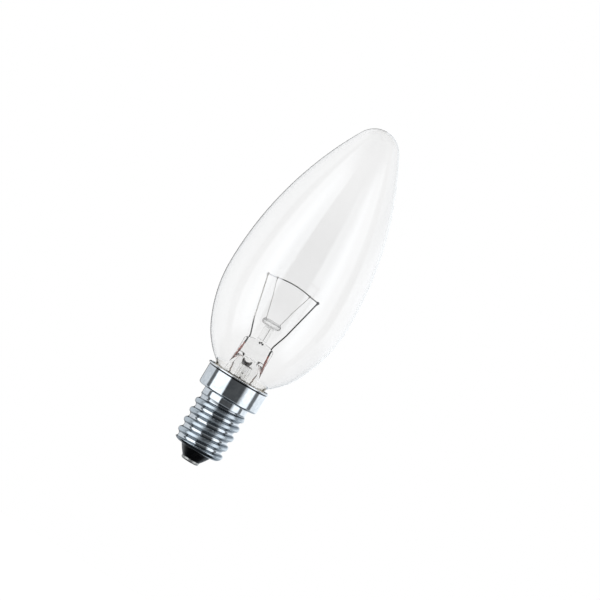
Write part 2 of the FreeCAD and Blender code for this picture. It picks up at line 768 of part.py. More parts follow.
def seal_line(side, height):
    """The point at this height on the leaning line of a seal wire, which its two neighbours start along."""
    lean = "(seal_spread_foot - seal_spread_top) / (seal_top - seal_foot)"
    return point(f"{side} * (seal_spread_top + (seal_top - ({height})) * {lean})", height)


def make_filament():
    end, eye = "filament_end_height", "filament_eye_height"
    reach = "filament_reach + clamp_length / 2"
    route = [
        point(f"-({reach})", end),
        point("-support_spread", eye),
        point("0", "filament_crest_height"),
        point("support_spread", eye),
        point(reach, end),
    ]
    return feature("filament", wire("filament", route, value("filament_diameter"), math.inf))


def make_support_wire(side, sign):
    """From its seat in the button up to the front of the filament, and round it in an open eye."""
    name = f"support_wire_{side}"
    eye = value("filament_diameter / 2 + eye_gap + support_wire / 2")
    x, z = sign * value("support_spread"), value("filament_eye_height")
    entry = point(f"{sign} * support_entry", "button_height")
    bend = point(f"{sign} * support_bend_spread", "support_bend_height")
    seat = toward(entry, bend, -value("support_depth"))
    route = [seat, bend, V(x, -eye, z - 2 * eye), V(x, -eye, z)]
    turns = [math.radians(value("eye_turn")) * share for share in (0, 0.25, 0.5, 0.75, 1)]
    loop = [V(x, -eye * math.cos(turn), z + eye * math.sin(turn)) for turn in turns]
    tail = [Part.Arc(*loop[:3]).toShape(), Part.Arc(*loop[2:]).toShape()]
    return feature(name, wire(name, route, value("support_wire"), value("support_curve"), tail))


def make_inner_lead(side, sign, filament):
    """From the seal wire up to the clamp, the flattened end that is folded over the filament."""
    name = f"inner_lead_{side}"
    route = [
        point(f"{sign} * seal_spread_top", "seal_top"),
        seal_line(sign, "lead_kink_height"),
        point(f"{sign} * lead_bend_spread", "lead_bend_height"),
        point(f"{sign} * filament_reach", "filament_end_height"),
    ]
    clamp_box = V(value("clamp_length"), value("clamp_width"), value("clamp_height"))
    clamp = Part.makeBox(*clamp_box, route[-1] - clamp_box / 2)
    clamp = clamp.makeFillet(value("clamp_edge"), clamp.Edges)
    lead = wire(name, route, value("lead_wire"), value("lead_curve"))
    return feature(name, lead.fuse(clamp).cut(filament.Shape).removeSplitter())


def make_seal_wire(side, sign):
    name = f"seal_wire_{side}"
    route = [seal_line(sign, "seal_foot"), seal_line(sign, "seal_top")]
    return feature(name, wire(name, route, value("seal_wire"), math.inf))


def make_outer_leads():
    """The right one goes down to the eyelet, the left one round the neck's foot to the back of the rim."""
    centre_route = [
        seal_line(1, "seal_foot"),
        seal_line(1, "seal_foot - outer_run"),
        point("outer_spread", "stem_shoulder"),
        point("outer_spread", "exhaust_tip"),
        point("0", "insulator_top + eyelet_radius"),
        point("0", "lead_tip_height"),
    ]
    under_neck = "(step_height + sheet_thickness + neck_foot) / 2"
    over_rim = "rim_top + solder_bed + outer_wire / 2"
    beside_neck = "(neck_radius + skirt_radius - sheet_thickness) / 2"
    side_route = [
        seal_line(-1, "seal_foot"),
        seal_line(-1, "seal_foot - outer_run"),
        point("-outer_spread", "stem_shoulder"),
        point("-outer_spread", "neck_foot + flare_rim"),
        point("-outer_spread / 2", under_neck, f"{beside_neck} / 2"),
        point("0", under_neck, beside_neck),
        point("0", over_rim, beside_neck),
        point("0", over_rim, "rim_radius"),
    ]
    diameter, curve = value("outer_wire"), value("outer_curve")
    routes = {"outer_lead_centre": centre_route, "outer_lead_side": side_route}
    return [feature(name, wire(name, route, diameter, curve)) for name, route in routes.items()]


glass_envelope = make_glass_envelope()
filament = make_filament()
sides = {"left": -1, "right": 1}
inner_leads = [make_inner_lead(side, sign, filament) for side, sign in sides.items()]
support_wires = [make_support_wire(side, sign) for side, sign in sides.items()]
seal_wires = [make_seal_wire(side, sign) for side, sign in sides.items()]
outer_leads = make_outer_leads()
exhaust_tube = make_exhaust_tube()
rod_glass = make_rod_glass()
arbor_rod = carve("arbor_rod", rod_glass, support_wires)

exhaust_room = primitive(
    "Part::Cylinder",
    "exhaust_room",
    Radius="exhaust_radius",
    Height="exhaust_top - stem_shoulder",
    z="stem_shoulder",
)
rod_room = primitive(
    "Part::Cylinder",
    "rod_room",
    Radius="rod_radius",
    Height="button_height - rod_foot",
    z="rod_foot",
)
stem_flare = carve(
    "stem_flare",
    make_stem_glass(),
    [exhaust_room, rod_room] + seal_wires + inner_leads + outer_leads,
)

cap_outside = make_cap_form("cap_outside", "0", inside=False)
cap_inside = make_cap_form("cap_inside", "sheet_thickness", inside=True)
cap_shell = carve("cap_shell", cap_outside, [cap_inside])
insulator = make_insulator()
contact_plate = make_contact_plate()
contact_solder = make_contact_solder()
capping_cement = carve("capping_cement", make_cement(), outer_leads[1:])
side_solder = carve("side_solder", make_rim_solder(), outer_leads[1:])

sub_parts = [glass_envelope, stem_flare, exhaust_tube, arbor_rod, filament, cap_shell, insulator]
sub_parts += [contact_plate, contact_solder, side_solder, capping_cement]
sub_parts += inner_leads + support_wires + seal_wires + outer_leads

doc.recompute()
failed = [item.Name for item in doc.Objects if {"Invalid", "Error"} & set(item.State)]
if failed:
    raise RuntimeError(f"not rebuilt: {failed}")
for item in sub_parts:
    if item.Shape.isNull() or not item.Shape.isValid() or len(item.Shape.Solids) != 1:
        raise RuntimeError(f"{item.Label}: not one sound solid")

os.makedirs("parts", exist_ok=True)
for item in sub_parts:
    item.Shape.exportStep(f"parts/{item.Label}.step")
    print(f"{item.Label}: {item.Shape.Volume:.2f} mm3, {len(item.Shape.Faces)} faces")
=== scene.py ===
import math
from functools import partial

import bmesh
import bpy
import numpy as np
from mathutils import Matrix, Vector


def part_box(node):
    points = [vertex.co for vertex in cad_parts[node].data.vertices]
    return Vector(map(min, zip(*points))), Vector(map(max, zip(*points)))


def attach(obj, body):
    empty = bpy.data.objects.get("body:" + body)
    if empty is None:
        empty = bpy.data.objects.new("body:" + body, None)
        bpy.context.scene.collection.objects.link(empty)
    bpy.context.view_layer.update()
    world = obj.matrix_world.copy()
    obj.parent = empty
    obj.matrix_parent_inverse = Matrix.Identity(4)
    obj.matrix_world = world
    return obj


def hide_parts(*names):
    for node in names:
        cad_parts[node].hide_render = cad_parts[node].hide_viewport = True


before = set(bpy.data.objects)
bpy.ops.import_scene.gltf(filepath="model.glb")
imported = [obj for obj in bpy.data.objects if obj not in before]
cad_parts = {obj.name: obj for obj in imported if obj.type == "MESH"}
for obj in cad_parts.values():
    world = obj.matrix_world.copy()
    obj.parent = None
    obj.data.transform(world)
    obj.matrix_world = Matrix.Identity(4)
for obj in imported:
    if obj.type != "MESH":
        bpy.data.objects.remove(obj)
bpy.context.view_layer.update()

print("frame loaded:", len(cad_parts), "solids")

# A clear candle lamp on a small screw cap. Lengths are in millimetres until a mesh is made, with the outer
# face of the centre contact at the origin, the glass tip towards +Z and the front towards -Y.
metre = 0.001
scene = bpy.context.scene
frontAxis = np.array([0.0, 1.0, 0.0])
filamentAxis = np.array([1.0, 0.0, 0.0])


def boxOf(node):
    low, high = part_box(node)
    return np.array(low) / metre, np.array(high) / metre


# Points along an outline of (r, z) steps. A step (r, z) is reached by a line, a step (r, z, R) by an arc
# c + |R| (cos t, sin t), which turns left for R > 0 and right for R < 0.
def outline(steps, spacing):
    runs = [np.array([steps[0][:2]], float)]
    for before, step in zip(steps, steps[1:]):
        start, end = np.array(before[:2], float), np.array(step[:2], float)
        chord = end - start
        length = np.hypot(*chord)
        if len(step) == 2:
            share = np.linspace(0, 1, max(2, math.ceil(length / spacing) + 1))[1:, None]
            runs.append(start + chord * share)
            continue
        radius, side = abs(step[2]), np.sign(step[2])
        rise = math.sqrt(max(radius**2 - length**2 / 4, 0))
        centre = (start + end) / 2 + side * rise * np.array([-chord[1], chord[0]]) / length
        sweep = 2 * math.asin(min(length / (2 * radius), 1))
        count = max(8, math.ceil(radius * sweep / spacing))
        turn = math.atan2(*(start - centre)[::-1]) + side * sweep * np.linspace(0, 1, count + 1)[1:]
        runs.append(centre + radius * np.stack([np.cos(turn), np.sin(turn)], 1))
    return np.concatenate(runs)


def fullTurn(columns):
    return np.linspace(0, 2 * np.pi, columns, endpoint=False)


# An outline turned about the lamp's axis: p = (r cos a, r sin a, z), a evenly spaced.
def revolved(rz, columns):
    turn = fullTurn(columns)
    r, z = rz[:, :1], rz[:, 1:]
    return np.stack([r * np.cos(turn), r * np.sin(turn), z + 0 * turn], -1)


# The middle line of a bent wire: straight runs, and at each corner c between a and b, setback away on both
# sides, the curve (1 - s)^2 a + 2 s (1 - s) c + s^2 b.
def bentLine(points, setback, spacing=0.15):
    points = np.array(points, float)
    knots = [points[:1]]
    for before, corner, after in zip(points, points[1:], points[2:]):
        reach = min(setback, 0.45 * np.linalg.norm(corner - before), 0.45 * np.linalg.norm(after - corner))
        start = corner + (before - corner) * reach / np.linalg.norm(before - corner)
        end = corner + (after - corner) * reach / np.linalg.norm(after - corner)
        s = np.linspace(0, 1, 9)[:, None]
        knots.append((1 - s) ** 2 * start + 2 * s * (1 - s) * corner + s**2 * end)
    knots = np.concatenate(knots + [points[-1:]])
    along = np.concatenate([[0], np.cumsum(np.linalg.norm(np.diff(knots, axis=0), axis=1))])
    place = np.linspace(0, along[-1], max(2, math.ceil(along[-1] / spacing)) + 1)
    return np.stack([np.interp(place, along, knots[:, axis]) for axis in range(3)], 1)


# A section carried along a line: p = c + u n cos a + v b sin a, where n is square to the line's direction t
# and to the reference direction, b = t x n, and u and v are the half widths there.
def swept(line, halfN, halfB, reference, columns=20):
    tangent = np.gradient(line, axis=0)
    tangent /= np.linalg.norm(tangent, axis=1, keepdims=True)
    n = np.cross(tangent, reference)
    n /= np.linalg.norm(n, axis=1, keepdims=True)
    b = np.cross(tangent, n)
    turn = fullTurn(columns)[None, :, None]
    u, v = (np.broadcast_to(half, len(line))[:, None, None] for half in (halfN, halfB))
    return line[:, None] + u * n[:, None] * np.cos(turn) + v * b[:, None] * np.sin(turn)


def newObject(name, data):
    made = bpy.data.objects.new(name, data)
    scene.collection.objects.link(made)
    return made


# A closed mesh from a grid of points (row, column, 3) in millimetres, whose columns go round. With ring its
# rows go round too, and otherwise each end row is drawn to its middle. Faces point outwards, because the
# volume, the sum of p0 . (p1 x p2) / 6 over the triangles, is made positive.
def closedPiece(name, grid, slot, replaces, ring=False, sharp=None, finish=None):
    rows, columns = grid.shape[:2]
    index = np.arange(rows * columns).reshape(rows, columns)
    lower, upper = (index, np.roll(index, -1, axis=0)) if ring else (index[:-1], index[1:])
    corners = [lower, np.roll(lower, -1, axis=1), np.roll(upper, -1, axis=1), upper]
    faces = [np.stack(corners, -1).reshape(-1, 4)]
    vertices = grid.reshape(-1, 3)
    if not ring:
        vertices = np.concatenate([vertices, grid[:1].mean(1), grid[-1:].mean(1)])
        for row, middle, turn in ((index[0], rows * columns, -1), (index[-1], rows * columns + 1, 1)):
            fan = [np.full(columns, middle), row, np.roll(row, -1)]
            faces.append(np.stack(fan, -1)[:, ::turn])
    first, second, third = (vertices[faces[0][:, corner]] for corner in (0, 1, 2))
    fourth = vertices[faces[0][:, 3]]
    volume = np.einsum("ij,ij", first, np.cross(second, third) + np.cross(third, fourth))
    faces = [face[:, ::-1] if volume < 0 else face for face in faces]

    mesh = bpy.data.meshes.new(name)
    loops = np.concatenate([face.ravel() for face in faces])
    sides = np.concatenate([np.full(len(face), face.shape[1]) for face in faces])
    mesh.vertices.add(len(vertices))
    mesh.vertices.foreach_set("co", (vertices * metre).ravel())
    mesh.loops.add(len(loops))
    mesh.loops.foreach_set("vertex_index", loops)
    mesh.polygons.add(len(sides))
    mesh.polygons.foreach_set("loop_start", np.cumsum(sides) - sides)
    mesh.update(calc_edges=True)
    merged = bmesh.new()
    merged.from_mesh(mesh)
    bmesh.ops.remove_doubles(merged, verts=merged.verts, dist=1e-8)
    merged.to_mesh(mesh)
    merged.free()
    mesh.polygons.foreach_set("use_smooth", np.ones(len(mesh.polygons), bool))
    if sharp:
        mesh.set_sharp_from_angle(angle=math.radians(sharp))
    mesh.update()
    piece = newObject(name, mesh)
    mesh.materials.append(finishes[finish or slot])
    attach(piece, "root")
    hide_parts(*replaces)
    return piece


# Turns sRGB hex to linear: c / 12.92 up to 0.04045, and ((c + 0.055) / 1.055)^2.4 above it.
def colour(hexText):
    levels = [int(hexText[i : i + 2], 16) / 255 for i in (1, 3, 5)]
    return [c / 12.92 if c <= 0.04045 else ((c + 0.055) / 1.055) ** 2.4 for c in levels] + [1.0]


# Gives inputs of a node their values, or links them to the sockets that feed them.
def feed(node, inputs):
    for key, given in inputs.items():
        if isinstance(given, bpy.types.NodeSocket):
            node.id_data.links.new(given, node.inputs[key])
        else:
            node.inputs[key].default_value = given


# Adds a node with its inputs, its settings and its ramp's stops, whose colours are hex or linear, and
# returns the output asked for.
def addNode(tree, kind, inputs, stops=(), output=0, **settings):
    node = tree.nodes.new("ShaderNode" + kind)
    for key, setting in settings.items():
        setattr(node, key, setting)
    feed(node, inputs)
    for number, (place, shade) in enumerate(stops):
        elements = node.color_ramp.elements
        element = elements[number] if number < 2 else elements.new(place)
        element.position = place
        element.color = colour(shade) if isinstance(shade, str) else shade
    return node.outputs[output]


# A material named for what it is, the function that adds its nodes, its main shader, and the coordinates in
# metres that its patterns read.
def newFinish(name, inputs):
    material = bpy.data.materials.new(name)
    material.use_nodes = True
    tree = material.node_tree
    shader = tree.nodes["Principled BSDF"]
    feed(shader, inputs)
    add = partial(addNode, tree)
    return material, add, shader, add("TexCoord", {}, output="Object")


perMm = 1 / metre  # a pattern scale of 1 per millimetre
upAxis = (0, 0, perMm)  # turns metres into millimetres above the contact
mixColours = {"output": 2, "data_type": "RGBA"}  # a Mix node's settings and result for colours


# Blown soda-lime glass: drawn thin and fire polished, so it is clear with a soft slow waviness that bends
# its reflections, and a faint grey tint in patches.
def blownGlass():
    sockets = {"IOR": 1.52, "Roughness": 0.0, "Transmission Weight": 1.0}
    material, add, shader, place = newFinish("blownSodaLimeGlass", sockets)
    cords = add("Mapping", {"Vector": place, "Scale": (1.0, 1.0, 0.25)})  # drawn along the axis
    waves = add("TexNoise", {"Vector": cords, "Scale": 0.11 * perMm, "Detail": 1.5})
    tint = add("ValToRGB", {"Fac": waves}, stops=[(0.3, "#fafafa"), (0.7, "#fcfcfc")])
    swell = add("Bump", {"Height": waves, "Distance": 0.02 * metre, "Strength": 0.5})
    feed(shader, {"Base Color": tint, "Normal": swell})
    return material


# How rough the flame leaves the glass from its mark on the rod upwards, in millimetres above the contact.
flameMark = {"From Min": 39.9, "From Max": 40.2, "To Min": 0.0, "To Max": 0.3}


# Drawn lead glass of the stem: denser and brighter than the bulb's, with pinching marks from the press
# jaws. The button on the rod is dulled by the flame that melted the support wires into it.
def stemGlass():
    sockets = {"IOR": 1.56, "Roughness": 0.0, "Transmission Weight": 1.0}
    material, add, shader, place = newFinish("drawnLeadGlass", sockets)
    jaws = add("TexNoise", {"Vector": place, "Scale": 0.5 * perMm, "Detail": 2.0})
    tint = add("ValToRGB", {"Fac": jaws}, stops=[(0.35, "#fafaf9"), (0.65, "#fefefe")])
    dent = add("Bump", {"Height": jaws, "Distance": 0.05 * metre, "Strength": 0.6})
    upward = add("VectorMath", {0: place, 1: upAxis}, output="Value", operation="DOT_PRODUCT")
    dulled = add("MapRange", {"Value": upward, **flameMark})
    feed(shader, {"Base Color": tint, "Roughness": dulled, "Normal": dent})
    return material


# Where the cap is worn and shaded: from the thread's root to its crest, where painted shade darkens the
# flanks, and on the crest, in millimetres from the axis, and below the thread's upper end, in millimetres
# above the contact. The last value roughens the crests.
capWearAndFlankShade = {
    "rootToCrest": {"From Min": 6.1, "From Max": 6.9},
    "crest": {"From Min": 6.5, "From Max": 6.75},
    "thread": {"From Min": 17.3, "From Max": 17.0},
    "roughening": 0.24,
}


# Bright rolled aluminium sheet: a mirror with fine turning lines round the axis, dulled in patches by
# handling. On the thread the crests are rubbed dull, and the flanks are darkened with painted shade.
def rolledAluminium():
    material, add, shader, place = newFinish("rolledAluminium", {"Metallic": 1.0})
    rings = add("Mapping", {"Vector": place, "Scale": (0.04, 0.04, 1.0)})
    lines = add("TexNoise", {"Vector": rings, "Scale": 9 * perMm, "Detail": 3.0})
    patches = {"Vector": place, "Scale": 0.9 * perMm, "Detail": 6.0, "Roughness": 0.7}
    handling = add("TexNoise", patches)
    bright = add("ValToRGB", {"Fac": handling}, stops=[(0.3, "#c3c9cf"), (0.6, "#dfe3e6")])
    dullness = {"From Min": 0.35, "From Max": 0.7, "To Min": 0.02, "To Max": 0.1}
    dull = add("MapRange", {"Value": handling, **dullness})
    grooves = add("Bump", {"Height": lines, "Distance": 0.002 * metre, "Strength": 0.5})
    dent = {"Height": handling, "Distance": 0.02 * metre, "Strength": 0.4, "Normal": grooves}
    dents = add("Bump", dent)
    outward = add("VectorMath", {0: place, 1: (perMm, perMm, 0)}, operation="MULTIPLY")
    radius = add("VectorMath", {0: outward}, output="Value", operation="LENGTH")
    upward = add("VectorMath", {0: place, 1: upAxis}, output="Value", operation="DOT_PRODUCT")
    fromRoot = add("MapRange", {"Value": radius, **capWearAndFlankShade["rootToCrest"]})
    # painted shade: the thread's flanks darker between the white root and the pale crest
    flankShadeStops = [(0.15, "#ffffff"), (0.38, "#858a8f"), (0.55, "#8f9499"), (0.75, "#e8edf0")]
    paintedFlankShade = add("ValToRGB", {"Fac": fromRoot}, stops=flankShadeStops)
    onCrest = add("MapRange", {"Value": radius, **capWearAndFlankShade["crest"]})
    below = add("MapRange", {"Value": upward, **capWearAndFlankShade["thread"]})
    rubbed = add("Math", {0: onCrest, 1: below}, operation="MULTIPLY")
    tone = add("Mix", {0: below, 6: bright, 7: paintedFlankShade}, blend_type="MULTIPLY", **mixColours)
    polish = add("Math", {0: rubbed, 1: capWearAndFlankShade["roughening"], 2: dull}, operation="MULTIPLY_ADD")
    feed(shader, {"Base Color": tone, "Roughness": polish, "Normal": dents})
    return material


# Black insulating glass, pressed hot into the cap: near black and glossy, with shallow flow marks.
def blackGlass():
    material, add, shader, place = newFinish("pressedBlackGlass", {"IOR": 1.5})
    flow = add("TexNoise", {"Vector": place, "Scale": 0.6 * perMm, "Detail": 3.0})
    tone = add("ValToRGB", {"Fac": flow}, stops=[(0.3, "#040405"), (0.75, "#0d0d10")])
    glossiness = {"From Min": 0.3, "From Max": 0.7, "To Min": 0.15, "To Max": 0.35}
    gloss = add("MapRange", {"Value": flow, **glossiness})
    marks = add("Bump", {"Height": flow, "Distance": 0.15 * metre, "Strength": 0.5})
    feed(shader, {"Base Color": tone, "Roughness": gloss, "Normal": marks})
    return material


# A metal with two shades and two roughnesses that follow one noise, and a bump from the same noise. The
# grain is the size of its patches, in millimetres.
def workedMetal(name, dark, light, grain, smooth, rough, relief, stretch=(1.0, 1.0, 1.0)):
    material, add, shader, place = newFinish(name, {"Metallic": 1.0})
    drawn = add("Mapping", {"Vector": place, "Scale": stretch})
    patches = add("TexNoise", {"Vector": drawn, "Scale": perMm / grain, "Detail": 4.0})
    tone = add("ValToRGB", {"Fac": patches}, stops=[(0.32, dark), (0.68, light)])
    dullness = {"From Min": 0.3, "From Max": 0.7, "To Min": smooth, "To Max": rough}
    polish = add("MapRange", {"Value": patches, **dullness})
    bump = add("Bump", {"Height": patches, "Distance": relief * metre, "Strength": 0.6})
    feed(shader, {"Base Color": tone, "Roughness": polish, "Normal": bump})
    return material


# Gives a material another shade below a start, and blends it in up to an end. Both are in millimetres along
# the weights: the sum of x, y and z times their weights.
def shadedBelow(material, weights, start, end, shade):
    add = partial(addNode, material.node_tree)
    shader = material.node_tree.nodes["Principled BSDF"]
    usual = shader.inputs["Base Color"].links[0].from_socket
    measure = {0: add("TexCoord", {}, output="Object"), 1: [weight * perMm for weight in weights]}
    along = add("VectorMath", measure, output="Value", operation="DOT_PRODUCT")
    share = add("MapRange", {"Value": along, "From Min": start, "From Max": end})
    blend = add("Mix", {0: share, 6: colour(shade), 7: usual}, **mixColours)
    feed(shader, {"Base Color": blend})
    return material


# Glass stained brown by the wires' copper oxide and borate: dark and glossy, streaked lighter. On the
# exhaust hole's lip its near black is painted shade, standing in for the dark that the lip's refraction
# shows.
def stainedAndShadedGlass():
    material, add, shader, place = newFinish("oxideStainAndShadeGlass", {"IOR": 1.56, "Roughness": 0.12})
    streaks = add("TexNoise", {"Vector": place, "Scale": 2.2 * perMm, "Detail": 3.0})
    tone = add("ValToRGB", {"Fac": streaks}, stops=[(0.5, "#060403"), (0.8, "#5b4a3c")])
    feed(shader, {"Base Color": tone})
    return material


# Capping cement: a baked mix of marble flour and resin, matt, grainy and pale cream, darker in patches.
def cappingCement():
    material, add, shader, place = newFinish("bakedCappingCement", {"Roughness": 0.9})
    grains = add("TexNoise", {"Vector": place, "Scale": 3.5 * perMm, "Detail": 5.0})
    stain = add("TexNoise", {"Vector": place, "Scale": 0.3 * perMm, "Detail": 2.0})
    both = add("Math", {0: grains, 1: stain}, operation="MULTIPLY")
    tone = add("ValToRGB", {"Fac": both}, stops=[(0.15, "#efe6d0"), (0.35, "#fbf7ec")])
    pits = add("Bump", {"Height": grains, "Distance": 0.1 * metre, "Strength": 0.8})
    feed(shader, {"Base Color": tone, "Normal": pits})
    return material


# The weights, start and end of each painted shade and highlight, and its colour. Weights of (0, 0, -1) count
# heights downwards, so that the shade lies above the start.
paintedLightAndShade = {
    # painted shade in the groove under the cap's rim, then a painted highlight on the rim itself
    "paintedGrooveShade": ((0, 0, -1), -24.5, -24.4, "#2c2a28"),
    "rim": ((0, 0, -1), -24.84, -24.76, "#eceef0"),
    "paintedCoilHighlight": ((1, 0, 0), -4.4, -2.8, "#fbfbfe"),
    "paintedLeadShade": ((-1.2, 0, 1), 44.5, 47.0, "#3b3835"),
}
finishes = {
    "clear_glass": blownGlass(),
    "stainAndPaintedShade": stainedAndShadedGlass(),
    "stem_glass": stemGlass(),
    # painted shade darkens the groove under its rolled rim, and a painted highlight lies on the rim itself
    "cap_sheet": shadedBelow(shadedBelow(rolledAluminium(), *paintedLightAndShade["paintedGrooveShade"]), *paintedLightAndShade["rim"]),
    "black_glass": blackGlass(),
    "cement": cappingCement(),
    # tinned brass: pale and soft, worn a little darker where it rubs on the spring of the lampholder
    "contact_metal": workedMetal("tinnedBrass", "#9d9c98", "#c9c9c6", 0.8, 0.25, 0.42, 0.03),
    # tin solder, frozen as it flowed: silvery with dull frosting
    "solder": workedMetal("tinSolder", "#a3a5a7", "#d2d3d4", 0.35, 0.18, 0.45, 0.05),
    # drawn tungsten: dark grey, with a painted highlight on the left end of the coil
    "tungsten": shadedBelow(
        workedMetal("drawnTungsten", "#4a4948", "#77746f", 0.5, 0.35, 0.5, 0.005), *paintedLightAndShade["paintedCoilHighlight"]
    ),
    # nickel wire, bright at the top, with painted shade lower down that reaches higher on the right
    "nickel_wire": shadedBelow(
        workedMetal("drawnNickel", "#d6d3cd", "#f6f5f2", 1.5, 0.55, 0.8, 0.01, (1, 1, 0.2)),
        *paintedLightAndShade["paintedLeadShade"],
    ),
    "molybdenum_wire": workedMetal("drawnMolybdenum", "#a5a39f", "#d0cdc8", 1.0, 0.5, 0.7, 0.005),
    # copper-clad seal wire, red where its borate coat has fused with the glass
    "seal_wire_copper": workedMetal("boratedCopperClad", "#8f453a", "#c98a7c", 0.6, 0.3, 0.5, 0.01),
    "lead_copper": workedMetal("dullCopper", "#5c4236", "#957058", 0.8, 0.35, 0.6, 0.01),
}
print("finishes made:", len(finishes))

bulb = {
    "belly": 17.5, "bellyHeight": 50.0, "bellyCurve": 37.3, "shoulderCurve": 21.2, "neckCurve": 3.1,
    "neckRadius": 6.9, "neckTop": 24.04, "tipCurve": 6.4, "wall": 0.55, "columns": 256,
    "spacing": 0.5,
}


# One skin of the bulb as five arcs that touch each other, from the neck up: out of the neck, the shoulder,
# the side up to the belly, the long side above it and the tip. The inset moves the skin in by the wall.
def bulbSkin(
    inset, belly, bellyHeight, bellyCurve, shoulderCurve, neckCurve, neckRadius, neckTop, tipCurve,
    spacing, **others
):
    (_, _, foot), (_, _, top) = boxOf("glass_envelope")
    rise = top - tipCurve - bellyHeight
    crownCurve = (belly**2 + rise**2 - tipCurve**2) / (2 * (belly - tipCurve))
    neck = np.array([neckRadius + neckCurve, neckTop])
    side = np.array([belly - bellyCurve, bellyHeight])
    crown = np.array([belly - crownCurve, bellyHeight])
    tip = np.array([0.0, top - tipCurve])
    toSide = bellyCurve - shoulderCurve
    toNeck = shoulderCurve + neckCurve
    across = neck - side
    gap = np.hypot(*across)
    share = (gap**2 + toSide**2 - toNeck**2) / (2 * gap)
    outward = np.array([-across[1], across[0]]) / gap * math.sqrt(toSide**2 - share**2)
    shoulder = side + across / gap * share + outward
    toward = lambda a, b, distance: a + (b - a) / np.hypot(*(b - a)) * distance
    steps = [
        (neckRadius - inset, foot),
        (neckRadius - inset, neckTop),
        (*toward(neck, shoulder, neckCurve + inset), -(neckCurve + inset)),
        (*toward(side, shoulder, bellyCurve - inset), shoulderCurve - inset),
        (belly - inset, bellyHeight, bellyCurve - inset),
        (*toward(crown, tip, crownCurve - inset), crownCurve - inset),
        (0.0, top - inset, tipCurve - inset),
    ]
    return outline(steps, spacing)


def makeBulb():
    skins = np.concatenate([bulbSkin(0.0, **bulb)[::-1], bulbSkin(bulb["wall"], **bulb)])
    grid = revolved(skins, bulb["columns"])
    piece = closedPiece("blownBulb", grid, "clear_glass", ["glass_envelope"], sharp=50)
    piece.visible_shadow = False  # clear glass throws next to no shadow


stem = {
    "flareOuter": 6.33, "flareInner": 5.65, "flareFoot": 20.0, "flareRim": 0.7, "flareTop": 23.6,
    "flareCurves": (-3.6, 3.2), "tube": 4.6, "tubeWall": 0.7, "shoulder": 26.0, "pressFoot": 31.0,
    "pressHalfWidth": 4.3, "pressHalfThickness": 1.25, "pressSideTop": 34.6, "pressTop": 35.9,
    "hollowTop": 30.9, "hollowHalfWidth": 3.3, "hollowHalfThickness": 0.6, "hollowTip": 0.01,
    "rod": 1.3, "rodFootSpread": 0.25, "rodFootCurve": 0.4, "button": 2.7, "buttonLow": 40.33,
    "buttonHigh": 42.08, "buttonNeck": 0.3, "buttonNeckCurve": 0.35, "buttonDome": 0.08,
    "columns": 160,
}


# A share that starts and ends slowly.
def eased(s):
    return s * s * (3 - 2 * s)


# The stem's glass in one melted piece. Each level is a flattened ring, p = (L s + b cos a, b sin a), where
# s = tanh(3 cos a) / tanh 3: a circle for L = 0, and the flat press where L is large. Rows run down the
# inside of the flare tube, over its rim, up its outside, over the arched top of the press, and up the rod
# to the button.
def makeStem(
    flareOuter, flareInner, flareFoot, flareRim, flareTop, flareCurves, tube, tubeWall, shoulder,
    pressFoot, pressHalfWidth, pressHalfThickness, pressSideTop, pressTop, hollowTop,
    hollowHalfWidth, hollowHalfThickness, hollowTip, rod, rodFootSpread, rodFootCurve, button,
    buttonLow, buttonHigh, buttonNeck, buttonNeckCurve, buttonDome, columns
):
    def level(z, half, thickness):
        z, half, thickness = np.broadcast_arrays(z, half, thickness)
        return np.stack([z, half - thickness, thickness], 1)

    s = np.linspace(0, 1, 25)
    inside = tube - tubeWall
    dome = np.sqrt(np.maximum(1 - s**8, 0))
    hollow = level(
        shoulder + (hollowTop - shoulder) * s,
        (inside + (hollowHalfWidth - inside) * eased(s)) * dome + hollowTip,
        (inside + (hollowHalfThickness - inside) * eased(s)) * dome + hollowTip,
    )[::-1]
    flare = outline([
        (inside, shoulder),
        (inside, flareTop),
        (flareInner, flareFoot, flareCurves[0]),
        (flareOuter, flareFoot),
        (flareOuter, flareFoot + flareRim),
        (tube, flareTop, flareCurves[1]),
        (tube, shoulder),
    ], spacing=0.3)
    flare = level(flare[:, 1], flare[:, 0], flare[:, 0])
    press = level(
        shoulder + (pressFoot - shoulder) * s,
        tube + (pressHalfWidth - tube) * eased(s),
        tube + (pressHalfThickness - tube) * eased(s),
    )
    sides = level(np.linspace(pressFoot, pressSideTop, 9)[1:], pressHalfWidth, pressHalfThickness)
    turn = np.linspace(0, 0.5 * np.pi, 15)[1:-1]
    arch = level(
        pressSideTop + (pressTop - pressSideTop) * np.sin(turn),
        rod + (pressHalfWidth - rod) * np.cos(turn),
        pressHalfThickness + (rod - pressHalfThickness) * np.sin(turn),
    )
    half = (buttonHigh - buttonLow) / 2
    stalk = outline([
        (rod + rodFootSpread, pressTop + 0.02),
        (rod, pressTop + rodFootCurve, rodFootCurve),
        (rod, buttonLow - buttonNeck),
        (rod + buttonNeck, buttonLow, buttonNeckCurve),
        (button - half, buttonLow),
        (button, buttonLow + half, half),
        (button - half, buttonHigh - buttonDome, half),
        (0.0, buttonHigh),
    ], spacing=0.2)
    stalk = level(stalk[:, 1], stalk[:, 0], stalk[:, 0])
    levels = np.concatenate([hollow, flare[1:], press[1:], sides, arch, stalk])
    z, length, thickness = (levels[:, [column]] for column in (0, 1, 2))
    turn = fullTurn(columns)
    reach = np.tanh(3 * np.cos(turn)) / math.tanh(3)
    grid = np.stack([length * reach + thickness * np.cos(turn), thickness * np.sin(turn), z + 0 * turn], -1)
    piece = closedPiece("stemGlass", grid, "stem_glass", ["stem_flare", "arbor_rod"])
    piece.visible_shadow = False


exhaust = {"outer": 1.8, "inner": 1.0, "foot": 11.0, "top": 28.4}


